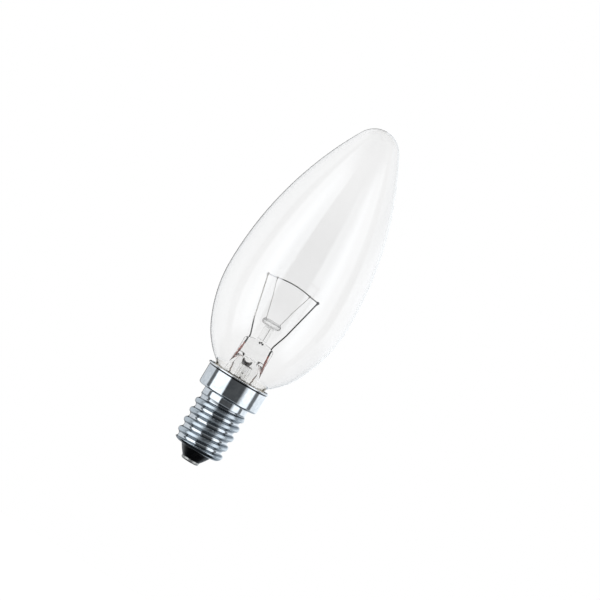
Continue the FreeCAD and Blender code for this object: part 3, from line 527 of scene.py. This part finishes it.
# The tube that the lamp was pumped through, melted shut at its foot by a round end.
def makeExhaustTube(outer, inner, foot, top):
    wall = outer - inner
    rz = outline([
        (0.0, foot + wall),
        (inner, foot + outer, inner),
        (inner, top),
        (outer, top, -wall / 2),
        (outer, foot + outer),
        (0.0, foot, -outer),
    ], spacing=0.3)
    piece = closedPiece("exhaustTube", revolved(rz, 64), "stem_glass", ["exhaust_tube"])
    piece.visible_shadow = False


holeBead = {"middle": (-0.45, 30.35), "radius": 1.15, "from": -178, "to": -2, "thin": 0.04, "thick": 0.6}


# How far the stem's front stands from the axis at a height, between the round tube and the flat press.
def stemFront(z):
    s = np.clip((z - stem["shoulder"]) / (stem["pressFoot"] - stem["shoulder"]), 0, 1)
    return stem["tube"] + (stem["pressHalfThickness"] - stem["tube"]) * eased(s)


# The melted lower lip of the exhaust hole: a bead along part of a circle on the stem's front, whose half
# thickness grows as a power of the sine of the way along it.
def makeHoleBead():
    share = np.linspace(0, 1, 48)
    turn = np.radians(holeBead["from"] + (holeBead["to"] - holeBead["from"]) * share)
    x = holeBead["middle"][0] + holeBead["radius"] * np.cos(turn)
    z = holeBead["middle"][1] + holeBead["radius"] * np.sin(turn)
    half = holeBead["thin"] + holeBead["thick"] * np.sin(np.pi * share) ** 0.7
    grid = swept(np.stack([x, -stemFront(z), z], 1), 0.9 * half, 0.5 * half, frontAxis, columns=28)
    # the near-black finish on this lip is painted shade for the dark that its refraction shows
    closedPiece("exhaustHoleBead", grid, "stem_glass", ["exhaust_tube"], finish="stainAndPaintedShade")


rodMarks = {"from": -0.35, "to": 0.85, "height": 35.4, "arch": 0.35, "front": -1.34, "bead": 0.3, "beads": 3}


# The rod's end, melted into the press: three small scorched beads in a row, |sin 3 t|, on a low arch.
def makeRodMarks():
    share = np.linspace(0, 1, 60)
    x = rodMarks["from"] + (rodMarks["to"] - rodMarks["from"]) * share
    z = rodMarks["height"] + rodMarks["arch"] * np.sin(np.pi * share)
    half = 0.02 + rodMarks["bead"] * np.abs(np.sin(rodMarks["beads"] * np.pi * (0.02 + 0.96 * share)))
    grid = swept(np.stack([x, rodMarks["front"] + 0 * x, z], 1), half, 0.5 * half, frontAxis, columns=16)
    closedPiece("rodFootMarks", grid, "stem_glass", ["arbor_rod"], finish="stainAndPaintedShade")


rodLine = {"x": 0.2, "from": 36.0, "to": 40.5, "radius": 0.035}


# A hair line of air that was drawn out along the rod.
def makeRodLine():
    z = np.linspace(rodLine["from"], rodLine["to"], 30)
    line = np.stack([rodLine["x"] + 0 * z, 0 * z, z], 1)
    grid = swept(line, rodLine["radius"], rodLine["radius"], frontAxis, columns=10)
    closedPiece("rodAirLine", grid, "stem_glass", ["arbor_rod"], finish="stainAndPaintedShade")


knot = {
    "route": [(3.45, -1.1, 31.2), (2.9, -1.28, 31.35), (2.2, -1.38, 31.1), (2.0, -1.62, 30.1)],
    "middle": (2.2, -1.38, 31.1),
    "bead": 0.32,
    "wire": 0.07,
    "reach": 0.3,
}


# A weld knot beside each seal wire: a thin bent wire that swells to a bead at its bend.
def makeKnot(name, node, side):
    line = bentLine([(side * x, y, z) for x, y, z in knot["route"]], knot["reach"], spacing=0.06)
    fromBead = np.linalg.norm(line - knot["middle"] * np.array([side, 1, 1]), axis=1)
    half = knot["wire"] + (knot["bead"] - knot["wire"]) * np.exp(-((fromBead / knot["reach"]) ** 2))
    grid = swept(line, half, half, frontAxis, columns=16)
    closedPiece(name, grid, "seal_wire_copper", [node], finish="stainAndPaintedShade")


filament = {
    "reach": 7.85, "endHeight": 51.8, "eyeSpread": 4.8, "eyeHeight": 52.2, "crestHeight": 52.72,
    "coilRadius": 0.135, "wireRadius": 0.035, "pitch": 0.105, "samplesPerTurn": 14,
}


# The height of the filament's middle line at x: an arch between the eyes, and straight legs outside them.
def filamentHeight(x):
    crest, eye, spread = (filament[key] for key in ("crestHeight", "eyeHeight", "eyeSpread"))
    inner = crest - (crest - eye) * (x / spread) ** 2
    slope = (eye - filament["endHeight"]) / (filament["reach"] - spread)
    outer = eye - slope * (np.abs(x) - spread)
    return np.where(np.abs(x) < spread, inner, outer)


# The coil: p = c(x) + R (n cos w + b sin w), where w grows by a full turn for each pitch, with the wire's
# own section carried along that line.
def makeFilament():
    turns = 2 * filament["reach"] / filament["pitch"]
    x = np.linspace(-filament["reach"], filament["reach"], int(turns * filament["samplesPerTurn"]))
    turn = 2 * np.pi * x / filament["pitch"]
    line = np.stack([x, 0 * x, filamentHeight(x)], 1)
    line[:, 1] += filament["coilRadius"] * np.cos(turn)
    line[:, 2] += filament["coilRadius"] * np.sin(turn)
    grid = swept(line, filament["wireRadius"], filament["wireRadius"], filamentAxis, columns=7)
    closedPiece("filamentCoil", grid, "tungsten", ["filament"])


leads = {
    "radius": 0.18, "sealTop": (3.4, 33.8), "kink": (3.252, 36.0), "bend": (4.75, 40.4),
    "clamp": (7.4, 51.8), "underClamp": 0.25, "approach": (0.2, 0.9), "flatHalfWidth": 0.3,
    "flatHalfThickness": 0.09, "flatFrom": 0.7, "flatOver": 0.4, "setback": 0.8, "foldTurns": 0.6,
}


# A lead from the seal to the filament. Near its end the round section is hammered flat, and the flat is
# folded over the filament: a little over half a turn about the filament's middle line.
def makeLead(name, node, side):
    clampX, clampZ = leads["clamp"]
    hug = filament["coilRadius"] + filament["wireRadius"] + leads["flatHalfThickness"]
    points = [(side * x, 0, z) for x, z in (leads["sealTop"], leads["kink"], leads["bend"])]
    inward, below = leads["approach"]
    points.append((side * (clampX - inward), 0, clampZ - below))
    points.append((side * clampX, -hug, clampZ - leads["underClamp"]))
    shank = bentLine(points, leads["setback"])
    turn = np.linspace(0, 2 * np.pi * leads["foldTurns"], 15)[:, None]
    middle = np.array([side * clampX, 0.0, float(filamentHeight(clampX))])
    fold = middle + hug * (np.sin(turn) * (0, 0, 1) - np.cos(turn) * frontAxis)
    line = np.concatenate([shank, fold])
    flat = np.clip((line[:, 2] - (clampZ - leads["flatFrom"])) / leads["flatOver"], 0, 1)
    flat[-len(fold) :] = 1
    thick = leads["radius"] + (leads["flatHalfThickness"] - leads["radius"]) * flat
    wide = leads["radius"] + (leads["flatHalfWidth"] - leads["radius"]) * flat
    grid = swept(line, thick, wide, filamentAxis, columns=24)
    closedPiece(name, grid, "nickel_wire", [node], sharp=60)


sealWires = {"top": (3.4, 33.8), "foot": (3.75, 28.6), "radius": 0.2, "swell": 0.05}


# A seal wire, round, with its borate coat swollen unevenly along it: r = R + d (sin 4 s + sin 9 s) / 2.
def makeSealWire(name, node, side):
    (topX, topZ), (footX, footZ) = sealWires["top"], sealWires["foot"]
    s = np.linspace(0, 1, 60)
    line = np.stack([side * (footX + (topX - footX) * s), 0 * s, footZ + (topZ - footZ) * s], 1)
    swell = (np.sin(4 * s * np.pi) + np.sin(9 * s * np.pi + side)) / 2
    half = sealWires["radius"] + sealWires["swell"] * swell
    grid = swept(line, half, half, filamentAxis, columns=20)
    closedPiece(name, grid, "seal_wire_copper", [node])


supports = {
    "radius": 0.075, "seat": (1.73, 40.8), "bend": (3.25, 46.8), "eyeRadius": 0.34, "eyeDrop": 0.08,
    "eyeHalfLength": 0.12, "eyeTurns": 1.3, "eyeReach": 2.2, "seatBead": 0.12, "seatReach": 0.3,
    "setback": 0.8,
}


# A support wire from the button, ending in an open eye: 1.3 turns of a short helix round the filament.
def makeSupport(name, node, side):
    eye, aside = supports["eyeRadius"], side * supports["eyeHalfLength"]
    middle = np.array([side * filament["eyeSpread"], 0.0, filament["eyeHeight"] - supports["eyeDrop"]])
    points = [(side * x, 0, z) for x, z in (supports["seat"], supports["bend"])]
    points += [middle + (-aside, -eye, -supports["eyeReach"] * eye), middle + (-aside, -eye, 0)]
    shank = bentLine(points, supports["setback"])
    turn = np.linspace(0, 2 * np.pi * supports["eyeTurns"], 44)[1:, None]
    loop = middle + eye * (np.sin(turn) * (0, 0, 1) - np.cos(turn) * frontAxis)
    loop[:, 0] += aside * (2 * turn[:, 0] / turn[-1, 0] - 1)
    line = np.concatenate([shank, loop])
    fromSeat = np.linalg.norm(line - line[0], axis=1)
    half = supports["radius"] + supports["seatBead"] * np.exp(-((fromSeat / supports["seatReach"]) ** 2))
    grid = swept(line, half, half, filamentAxis, 12)
    closedPiece(name, grid, "molybdenum_wire", [node])


cap = {
    "crest": 6.94, "root": 6.09, "pitch": 2.822, "crestHeight": 4.85, "barrel": 6.93,
    "fadeFoot": 15.7, "fadeTop": 17.2, "collar": 6.4, "lip": 4.3, "foot": 3.5, "footCurve": 1.75,
    "step": 19.0, "stepCurve": 0.6, "stepFillet": 0.3, "skirt": 8.5, "rim": 8.9,
    "rimThickness": 0.46, "rimTop": 25.2, "rimFillet": 0.15, "edgeCurve": 0.12, "sheet": 0.25,
    "soften": 0.1, "columns": 224,
}


# The round thread at height z and turn a. With d the distance to the nearest crest along the axis, pitch P,
# knuckle radius K = (P^2 / 4 + (A - B)^2) / (4 (A - B)), crest A and root B: r = A - K + sqrt(K^2 - d^2)
# near the crest and r = B + K - sqrt(K^2 - (P / 2 - d)^2) near the root. The inset moves it inwards.
def threadRadius(z, turn, inset):
    depth = cap["crest"] - cap["root"]
    knuckle = (cap["pitch"] ** 2 / 4 + depth**2) / (4 * depth)
    phase = (z - cap["crestHeight"]) / cap["pitch"] - turn / (2 * np.pi)
    away = np.abs(phase - np.round(phase)) * cap["pitch"]
    crestArc, rootArc = knuckle - inset, knuckle + inset
    meet = cap["pitch"] / 2 * (1 - rootArc / (2 * knuckle))
    crest = cap["crest"] - knuckle + np.sqrt(np.maximum(crestArc**2 - away**2, 0))
    root = cap["root"] + knuckle - np.sqrt(np.maximum(rootArc**2 - (cap["pitch"] / 2 - away) ** 2, 0))
    return np.where(away < meet, crest, root)


# The radius of the cap's sheet where its plain outline has the radius r: the smaller of r and the thread,
# joined by a soft minimum (a + b - sqrt((a - b)^2 + k^2)) / 2, and at least the cone that fades it out.
def sheetRadius(r, z, turn, inset):
    thread = threadRadius(z, turn, inset)
    softened = np.minimum((r + thread - np.sqrt((r - thread) ** 2 + cap["soften"] ** 2)) / 2 + 0.02, r)
    fade = np.clip((z - cap["fadeFoot"]) / (cap["fadeTop"] - cap["fadeFoot"]), 0, 1)
    inner = cap["root"] - cap["sheet"] - inset
    cone = inner + (cap["collar"] - inset - inner) * fade
    return np.where(z < cap["fadeFoot"], softened, np.minimum(np.maximum(softened, cone), r))


# The cap's threaded outline turned about its axis, with the thread pressed into it.
def capSkin(rz, inset):
    turn = fullTurn(cap["columns"])
    r, z = rz[:, :1], rz[:, 1:]
    r = sheetRadius(r, z, turn, inset)
    return np.stack([r * np.cos(turn), r * np.sin(turn), z + 0 * turn], -1)


# Gives the corners on the thread the true normal of r = R(z, a), e_r - (dR/da / R) e_a - dR/dz e_z, so that
# its fine highlights don't follow the mesh.
def polishThread(piece, rz):
    mesh = piece.data
    normals = np.empty(len(mesh.loops) * 3)
    vertexOf = np.empty(len(mesh.loops), int)
    places = np.empty(len(mesh.vertices) * 3)
    mesh.corner_normals.foreach_get("vector", normals)
    mesh.loops.foreach_get("vertex_index", vertexOf)
    mesh.vertices.foreach_get("co", places)
    normals = normals.reshape(-1, 3)
    x, y, z = (places.reshape(-1, 3) / metre)[vertexOf].T
    turn = np.arctan2(y, x)
    radiusAt = lambda height, angle: sheetRadius(np.interp(height, rz[:, 1], rz[:, 0]), height, angle, 0.0)
    here, step = radiusAt(z, turn), 0.002
    alongTurn = (radiusAt(z, turn + step) - radiusAt(z, turn - step)) / (2 * step) / here
    alongHeight = (radiusAt(z + step, turn) - radiusAt(z - step, turn)) / (2 * step)
    cos, sin = np.cos(turn), np.sin(turn)
    true = np.stack([cos + alongTurn * sin, sin - alongTurn * cos, -alongHeight], 1)
    true /= np.linalg.norm(true, axis=1, keepdims=True)
    outside = np.abs(np.hypot(x, y) - here) < 0.003
    onThread = outside & (z > cap["foot"] + 0.3) & (z < cap["fadeTop"] - 0.05)
    normals[onThread] = true[onThread]
    mesh.normals_split_custom_set(normals)


def makeCap(
    barrel, fadeFoot, fadeTop, collar, lip, foot, footCurve, step, stepCurve, stepFillet, skirt,
    rim, rimThickness, rimTop, rimFillet, edgeCurve, sheet, columns, **others
):
    edge, bead = edgeCurve, rimThickness / 2
    inner, rimFoot = skirt - sheet, rimTop - 2 * bead
    footCentre = barrel - footCurve
    rollFoot = foot + footCurve
    threaded = outline([
        (lip, foot),
        (footCentre, foot),
        (barrel, rollFoot, footCurve),
        (barrel, fadeFoot),
        (collar, fadeTop),
    ], spacing=0.08)
    plain = outline([
        (collar, fadeTop),
        (collar, step - stepFillet),
        (collar + stepFillet, step, -stepFillet),
        (skirt - stepCurve, step),
        (skirt, step + stepCurve, stepCurve),
        (skirt, rimFoot - rimFillet),
        (skirt + rimFillet, rimFoot, -rimFillet),
        (rim - bead, rimFoot),
        (rim, rimTop - bead, bead),
        (rim - bead, rimTop, bead),
        (inner + edge, rimTop),
        (inner, rimTop - edge, edge),
    ], spacing=0.22)
    back = outline([
        (inner, rimTop - edge),
        (inner, step + stepCurve),
        (skirt - stepCurve, step + sheet, -(stepCurve - sheet)),
        (collar - sheet, step + sheet),
        (collar - sheet, fadeTop),
    ], spacing=0.6)
    threadedBack = outline([
        (collar - sheet, fadeTop),
        (barrel - sheet, fadeFoot),
        (barrel - sheet, rollFoot),
        (footCentre, foot + sheet, -(footCurve - sheet)),
        (lip, foot + sheet),
    ], spacing=0.2)
    grid = np.concatenate([
        capSkin(threaded, 0.0),
        revolved(plain[1:], columns),
        revolved(back[1:], columns),
        capSkin(threadedBack[1:], sheet),
    ])
    piece = closedPiece("screwCap", grid, "cap_sheet", ["cap_shell"], ring=True, sharp=70)
    polishThread(piece, threaded[threaded[:, 1] > foot])


contact = {
    "radius": 2.53, "thickness": 0.8, "edge": 0.5, "bore": 0.45, "boreEdge": 0.08, "top": 1.9,
    "sleeve": 0.9,
}


# The centre contact: a pressed plate with a rounded edge and the sleeve that holds it in the glass.
def makeContact(radius, thickness, edge, bore, boreEdge, top, sleeve):
    rz = outline([
        (bore + boreEdge, 0.0),
        (radius - edge, 0.0),
        (radius, edge, edge),
        (radius, thickness - 0.02),
        (radius - 0.02, thickness),
        (sleeve, thickness),
        (sleeve, top),
        (bore, top),
        (bore, boreEdge),
        (bore + boreEdge, 0.0, boreEdge),
    ], spacing=0.1)[:-1]
    grid = revolved(rz, 96)
    closedPiece("centreContact", grid, "contact_metal", ["contact_plate"], ring=True, sharp=40)


solderPlug = {
    "dish": [(0.0, 0.06), (0.2, 0.03, 1.2)], "lap": 0.04, "radius": 0.44, "heights": (0.1, 0.7, 0.72),
}


# Solder in the contact's sleeve, with a shallow frozen dish at its outer face, lapped over the edge.
def makeSolderPlug():
    radius, (foot, top, crown) = solderPlug["radius"], solderPlug["heights"]
    rim = (contact["bore"] + solderPlug["lap"], 0.0)
    rz = outline([*solderPlug["dish"], rim, (radius, foot), (radius, top), (0.0, crown)], spacing=0.05)
    closedPiece("solderPlug", revolved(rz, 48), "solder", ["contact_solder"], sharp=50)


insulator = {
    "top": 5.8, "bore": 5.8, "boreFoot": 4.2, "funnel": 1.7, "funnelFoot": 2.9, "edge": 0.15,
    "coneCurve": 14.0, "seat": 5.15, "seatCurve": 1.0,
}


# The black glass between cap and contact: a cone below the cap's lip, and a funnel that leads the wire in.
def makeInsulator():
    rz = outline([
        (contact["sleeve"], contact["thickness"]),
        (contact["radius"] - insulator["edge"], contact["thickness"]),
        (contact["radius"] + 0.02, contact["thickness"] + 0.12, insulator["edge"]),
        (cap["lip"], cap["foot"] - 0.05, insulator["coneCurve"]),
        (cap["lip"], cap["foot"] + cap["sheet"]),
        (insulator["seat"], cap["foot"] + cap["sheet"] + 0.02),
        (insulator["bore"], insulator["boreFoot"], insulator["seatCurve"]),
        (insulator["bore"], insulator["top"]),
        (insulator["funnel"], insulator["top"]),
        (contact["sleeve"], insulator["funnelFoot"]),
    ], spacing=0.15)
    grid = revolved(rz, 128)
    closedPiece("blackInsulator", grid, "black_glass", ["insulator"], ring=True, sharp=45)


cement = {"foot": 20.4, "edge": 24.6, "top": 24.95, "gap": 0.03, "sag": -2.0, "fillet": 3.0, "ripple": 0.05}


# The ring of cement, whose upper face sags between skirt and glass and ripples a little round the neck.
def makeCement():
    neck = lambda z: bulb["neckRadius"] + bulb["neckCurve"] - math.sqrt(
        bulb["neckCurve"] ** 2 - max(z - bulb["neckTop"], 0) ** 2
    )
    outer = cap["skirt"] - cap["sheet"]
    rz = outline([
        (bulb["neckRadius"] + cement["gap"], cement["foot"]),
        (outer, cement["foot"]),
        (outer, cement["edge"]),
        (neck(cement["top"]) + 0.02, cement["top"], cement["sag"]),
        (bulb["neckRadius"] + cement["gap"], bulb["neckTop"], cement["fillet"]),
    ], spacing=0.12)
    columns = 160
    grid = revolved(rz, columns)
    turn = fullTurn(columns)
    wave = np.sin(5 * turn + 0.4) + 0.6 * np.sin(13 * turn) + 0.4 * np.sin(29 * turn + 1.0)
    grid[:, :, 2] += cement["ripple"] * np.clip(rz[:, 1:] - cement["edge"] + 0.1, 0, 0.3) / 0.3 * wave
    closedPiece("cappingCement", grid, "cement", ["capping_cement"], ring=True, sharp=60)


rimSolder = {"width": 1.15, "build": 0.5, "height": 0.85, "place": (8.6, 25.18)}


# The drop of solder over the side lead at the back of the rim: a flattened ball with a slow uneven swell.
def makeRimSolder():
    up = np.linspace(0, np.pi, 33)[:, None]
    turn = fullTurn(48)
    swell = 1 + 0.08 * np.sin(3 * turn + 0.5) * np.sin(up) + 0.05 * np.sin(5 * turn) * np.sin(2 * up)
    y, z = rimSolder["place"]
    width, build = rimSolder["width"] * swell, rimSolder["build"] * swell
    x = width * np.sin(up) * np.cos(turn)
    y = y + build * np.sin(up) * np.sin(turn)
    z = z + rimSolder["height"] * build * np.cos(up) + 0 * turn
    grid = np.stack([x, y, z], -1)
    closedPiece("rimSolder", grid, "solder", ["side_solder"])


makeBulb()
makeStem(**stem)
makeExhaustTube(**exhaust)
makeHoleBead()
makeRodMarks()
makeRodLine()
print("glass made")
makeFilament()
for side, name in ((-1, "left"), (1, "right")):
    makeLead(f"{name}Lead", f"inner_lead_{name}", side)
    makeSupport(f"{name}Support", f"support_wire_{name}", side)
    makeSealWire(f"{name}SealWire", f"seal_wire_{name}", side)
    makeKnot(f"{name}Knot", f"seal_wire_{name}", side)
print("filament and wires made")
makeCap(**cap)
makeContact(**contact)
makeSolderPlug()
makeInsulator()
makeCement()
makeRimSolder()
print("cap made")

# What is left of the solids keeps its shape and takes the finish of its slot.
keptSolids = {"outer_lead_centre": "lead_copper", "outer_lead_side": "lead_copper"}
for node, slotName in keptSolids.items():
    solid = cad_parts[node]
    for holder in solid.material_slots:
        holder.material = finishes[slotName]

studio = {
    "pictureWidth": 153.8, "lookAt": (3.03, 0.0, 50.2), "elevation": 2.0, "roll": 31.0,
    "lens": 250.0, "floorHeight": -62.0, "floorHalf": 220.0, "skyLevel": 0.5,
    "cornerTone": (0.5, 0.55, 0.6, 1), "darkTone": (0.025, 0.028, 0.032, 1),
    "benchTone": (0.42, 0.45, 0.48, 1), "lift": (0.62, 0.62, 0.62, 1),
}


# The camera leans by the roll, so that the upright lamp lies across the picture as it was shown.
def makeCamera():
    lean, up = math.radians(studio["roll"]), math.radians(studio["elevation"])
    levelRight = np.array([1.0, 0.0, 0.0])
    levelUp = np.array([0.0, math.sin(up), math.cos(up)])
    ahead = np.array([0.0, math.cos(up), -math.sin(up)])
    right = math.cos(lean) * levelRight + math.sin(lean) * levelUp
    upward = math.cos(lean) * levelUp - math.sin(lean) * levelRight
    data = bpy.data.cameras.new("camera")
    data.lens = studio["lens"]
    distance = studio["pictureWidth"] * metre * data.lens / data.sensor_width
    camera = newObject("camera", data)
    eye = np.array(studio["lookAt"]) * metre - ahead * distance
    columns = [right, upward, -ahead, eye]
    camera.matrix_world = Matrix([[column[row] for column in columns] for row in range(3)] + [[0, 0, 0, 1]])
    scene.camera = camera


# A soft lamp that shines towards the middle of the bulb and is not mirrored in the metal.
def makeLamp(name, place, size, power):
    data = bpy.data.lights.new(name, "AREA")
    data.shape = "DISK"
    data.size = size
    data.energy = power
    lamp = newObject(name, data)
    target = np.array(studio["lookAt"]) * metre
    lamp.location = place
    away = np.array(place) - target
    lamp.rotation_mode = "QUATERNION"
    lamp.rotation_quaternion = Vector(-away).to_track_quat("-Z", "Y")
    lamp.visible_glossy = False
    lamp.visible_camera = False
    lamp.visible_transmission = False


# How bright the studio's walls are by direction, in degrees from the camera, right positive: a dark room in
# front, a tall white panel on each side of it, grey gaps, and pale walls with a dark doorway behind.
walls = [
    (-180, 0.05), (-163, 0.05), (-157, 0.75), (-98, 0.88), (-93, 0.18), (-82, 0.16), (-76, 1.6),
    (-26, 1.6), (-21.5, 0.085), (36, 0.1), (52, 1.5), (78, 1.5), (85, 0.2), (98, 0.22), (103, 1.2),
    (180, 1.2),
]


# Where the studio changes. Each share goes from 0 to 1 between two values of the turn from the camera, of a
# part of the direction, of its height above or below the level, or of how often a ray was reflected.
studioEdges = {
    "behindRight": ("turn", math.radians(97), math.radians(104)),
    "offLevel": ("height", 0.1, 0.35),
    "ceiling": ("Z", 0.6, 0.78),
    "ground": ("Z", -0.55, -0.75),
    "benchBack": ("Z", -0.2, -0.3),
    "benchFront": ("Z", -0.52, -0.42),
    "sideways": ("Y", -0.6, -0.3),
    "high": ("height", 0.25, 0.8),
    "bounced": ("bounces", 0.4, 0.6),
}
studioPairs = {
    "corner": ("behindRight", "offLevel", "MULTIPLY"),
    "steep": ("ceiling", "ground", "MAXIMUM"),
    "bench": ("benchBack", "benchFront", "MULTIPLY"),
    "aside": ("sideways", "high", "MAXIMUM"),
}


# The camera, and rays straight through the glass, see white. Mirrors see the walls, a grey corner behind on
# the right, a dark ceiling and ground, and the light strip of a bench low down. Rays reflected inside the
# glass see the walls near the level in front, and white elsewhere. Rough surfaces are lit by an even sky.
def makeWorld():
    world = bpy.data.worlds.new("studio")
    scene.world = world
    world.use_nodes = True
    add = partial(addNode, world.node_tree)
    direction = add("TexCoord", {}, output="Generated")
    parts = add("SeparateXYZ", {0: direction}).node.outputs
    rays = add("LightPath", {}).node.outputs
    toCamera = add("Math", {0: parts["Y"], 1: -1.0}, operation="MULTIPLY")
    turn = add("Math", {0: parts["X"], 1: toCamera}, operation="ARCTAN2")
    height = add("Math", {0: parts["Z"]}, operation="ABSOLUTE")
    around = add("MapRange", {"Value": turn, "From Min": -math.pi, "From Max": math.pi})
    bluish = np.array([0.95, 0.99, 1.03])
    stops = [(degrees / 360 + 0.5, (*(bluish * level), 1)) for degrees, level in walls]
    bands = add("ValToRGB", {"Fac": around}, stops=stops)
    bounces = rays["Glossy Depth"]
    read = {"turn": turn, "height": height, "Y": parts["Y"], "Z": parts["Z"], "bounces": bounces}
    share = {}
    for name, (part, start, end) in studioEdges.items():
        edge = {"Value": read[part], "From Min": start, "From Max": end}
        share[name] = add("MapRange", edge, interpolation_type="SMOOTHSTEP")
    for name, (first, second, operation) in studioPairs.items():
        share[name] = add("Math", {0: share[first], 1: share[second]}, operation=operation)
    white, sky = (1, 1, 1, 1), [studio["skyLevel"]] * 3 + [1]
    walled = add("Mix", {0: share["corner"], 6: bands, 7: studio["cornerTone"]}, **mixColours)
    room = add("Mix", {0: share["steep"], 6: walled, 7: studio["darkTone"]}, **mixColours)
    bench = add("Mix", {0: share["bench"], 6: (0, 0, 0, 1), 7: studio["benchTone"]}, **mixColours)
    mirrored = add("Mix", {0: 1.0, 6: room, 7: bench}, blend_type="LIGHTEN", **mixColours)
    refracted = add("Mix", {0: share["aside"], 6: walled, 7: white}, **mixColours)
    inGlass = add("Mix", {0: share["bounced"], 6: white, 7: refracted}, **mixColours)
    seen = add("Mix", {0: rays["Is Glossy Ray"], 6: sky, 7: mirrored}, **mixColours)
    seen = add("Mix", {0: rays["Is Transmission Ray"], 6: seen, 7: inGlass}, **mixColours)
    seen = add("Mix", {0: rays["Is Camera Ray"], 6: seen, 7: white}, **mixColours)
    feed(world.node_tree.nodes["Background"], {"Color": seen})


# A pale floor well below the lamp. Seen by the camera, or through the glass, it is lifted to the white of
# the background and only the lamp's shadow darkens it. To rays reflected in the glass it is clear, so that
# they see the walls, and the metal doesn't mirror it.
def makeFloor():
    half, level = studio["floorHalf"] * metre, studio["floorHeight"] * metre
    mesh = bpy.data.meshes.new("floor")
    corners = [(-half, -half, level), (half, -half, level), (half, half, level), (-half, half, level)]
    mesh.from_pydata(corners, [], [(0, 1, 2, 3)])
    floor = newObject("floor", mesh)
    sockets = {"Roughness": 1.0, "Emission Color": studio["lift"]}
    material, add, shader, place = newFinish("paleFloor", sockets)
    grain = add("TexNoise", {"Vector": place, "Scale": 0.01 * perMm})
    paint = add("ValToRGB", {"Fac": grain}, stops=[(0.3, "#d4d5d6"), (0.7, "#dadbdc")])
    rays = add("LightPath", {}).node.outputs
    seenRays = {0: rays["Is Camera Ray"], 1: rays["Is Transmission Ray"]}
    seen = add("Math", seenRays, operation="MAXIMUM")
    feed(shader, {"Base Color": paint, "Emission Strength": seen})
    bounced = add("Math", {0: rays["Glossy Depth"], 1: 0.5}, operation="GREATER_THAN")
    clear = add("BsdfTransparent", {})
    either = add("MixShader", {0: bounced, 1: shader.outputs["BSDF"], 2: clear})
    feed(material.node_tree.nodes["Material Output"], {"Surface": either})
    mesh.materials.append(material)
    floor.visible_glossy = False


makeCamera()
# The soft lamps: the place and the width in metres, and the power in watts.
lamps = {"keyLamp": ((-0.55, -0.6, 0.75), 0.5, 2.4), "fillLamp": ((0.7, -0.5, 0.35), 0.6, 1.0)}
for name, (place, size, power) in lamps.items():
    makeLamp(name, place, size, power)
makeWorld()
makeFloor()
scene.view_settings.view_transform = "Standard"
print("studio made")
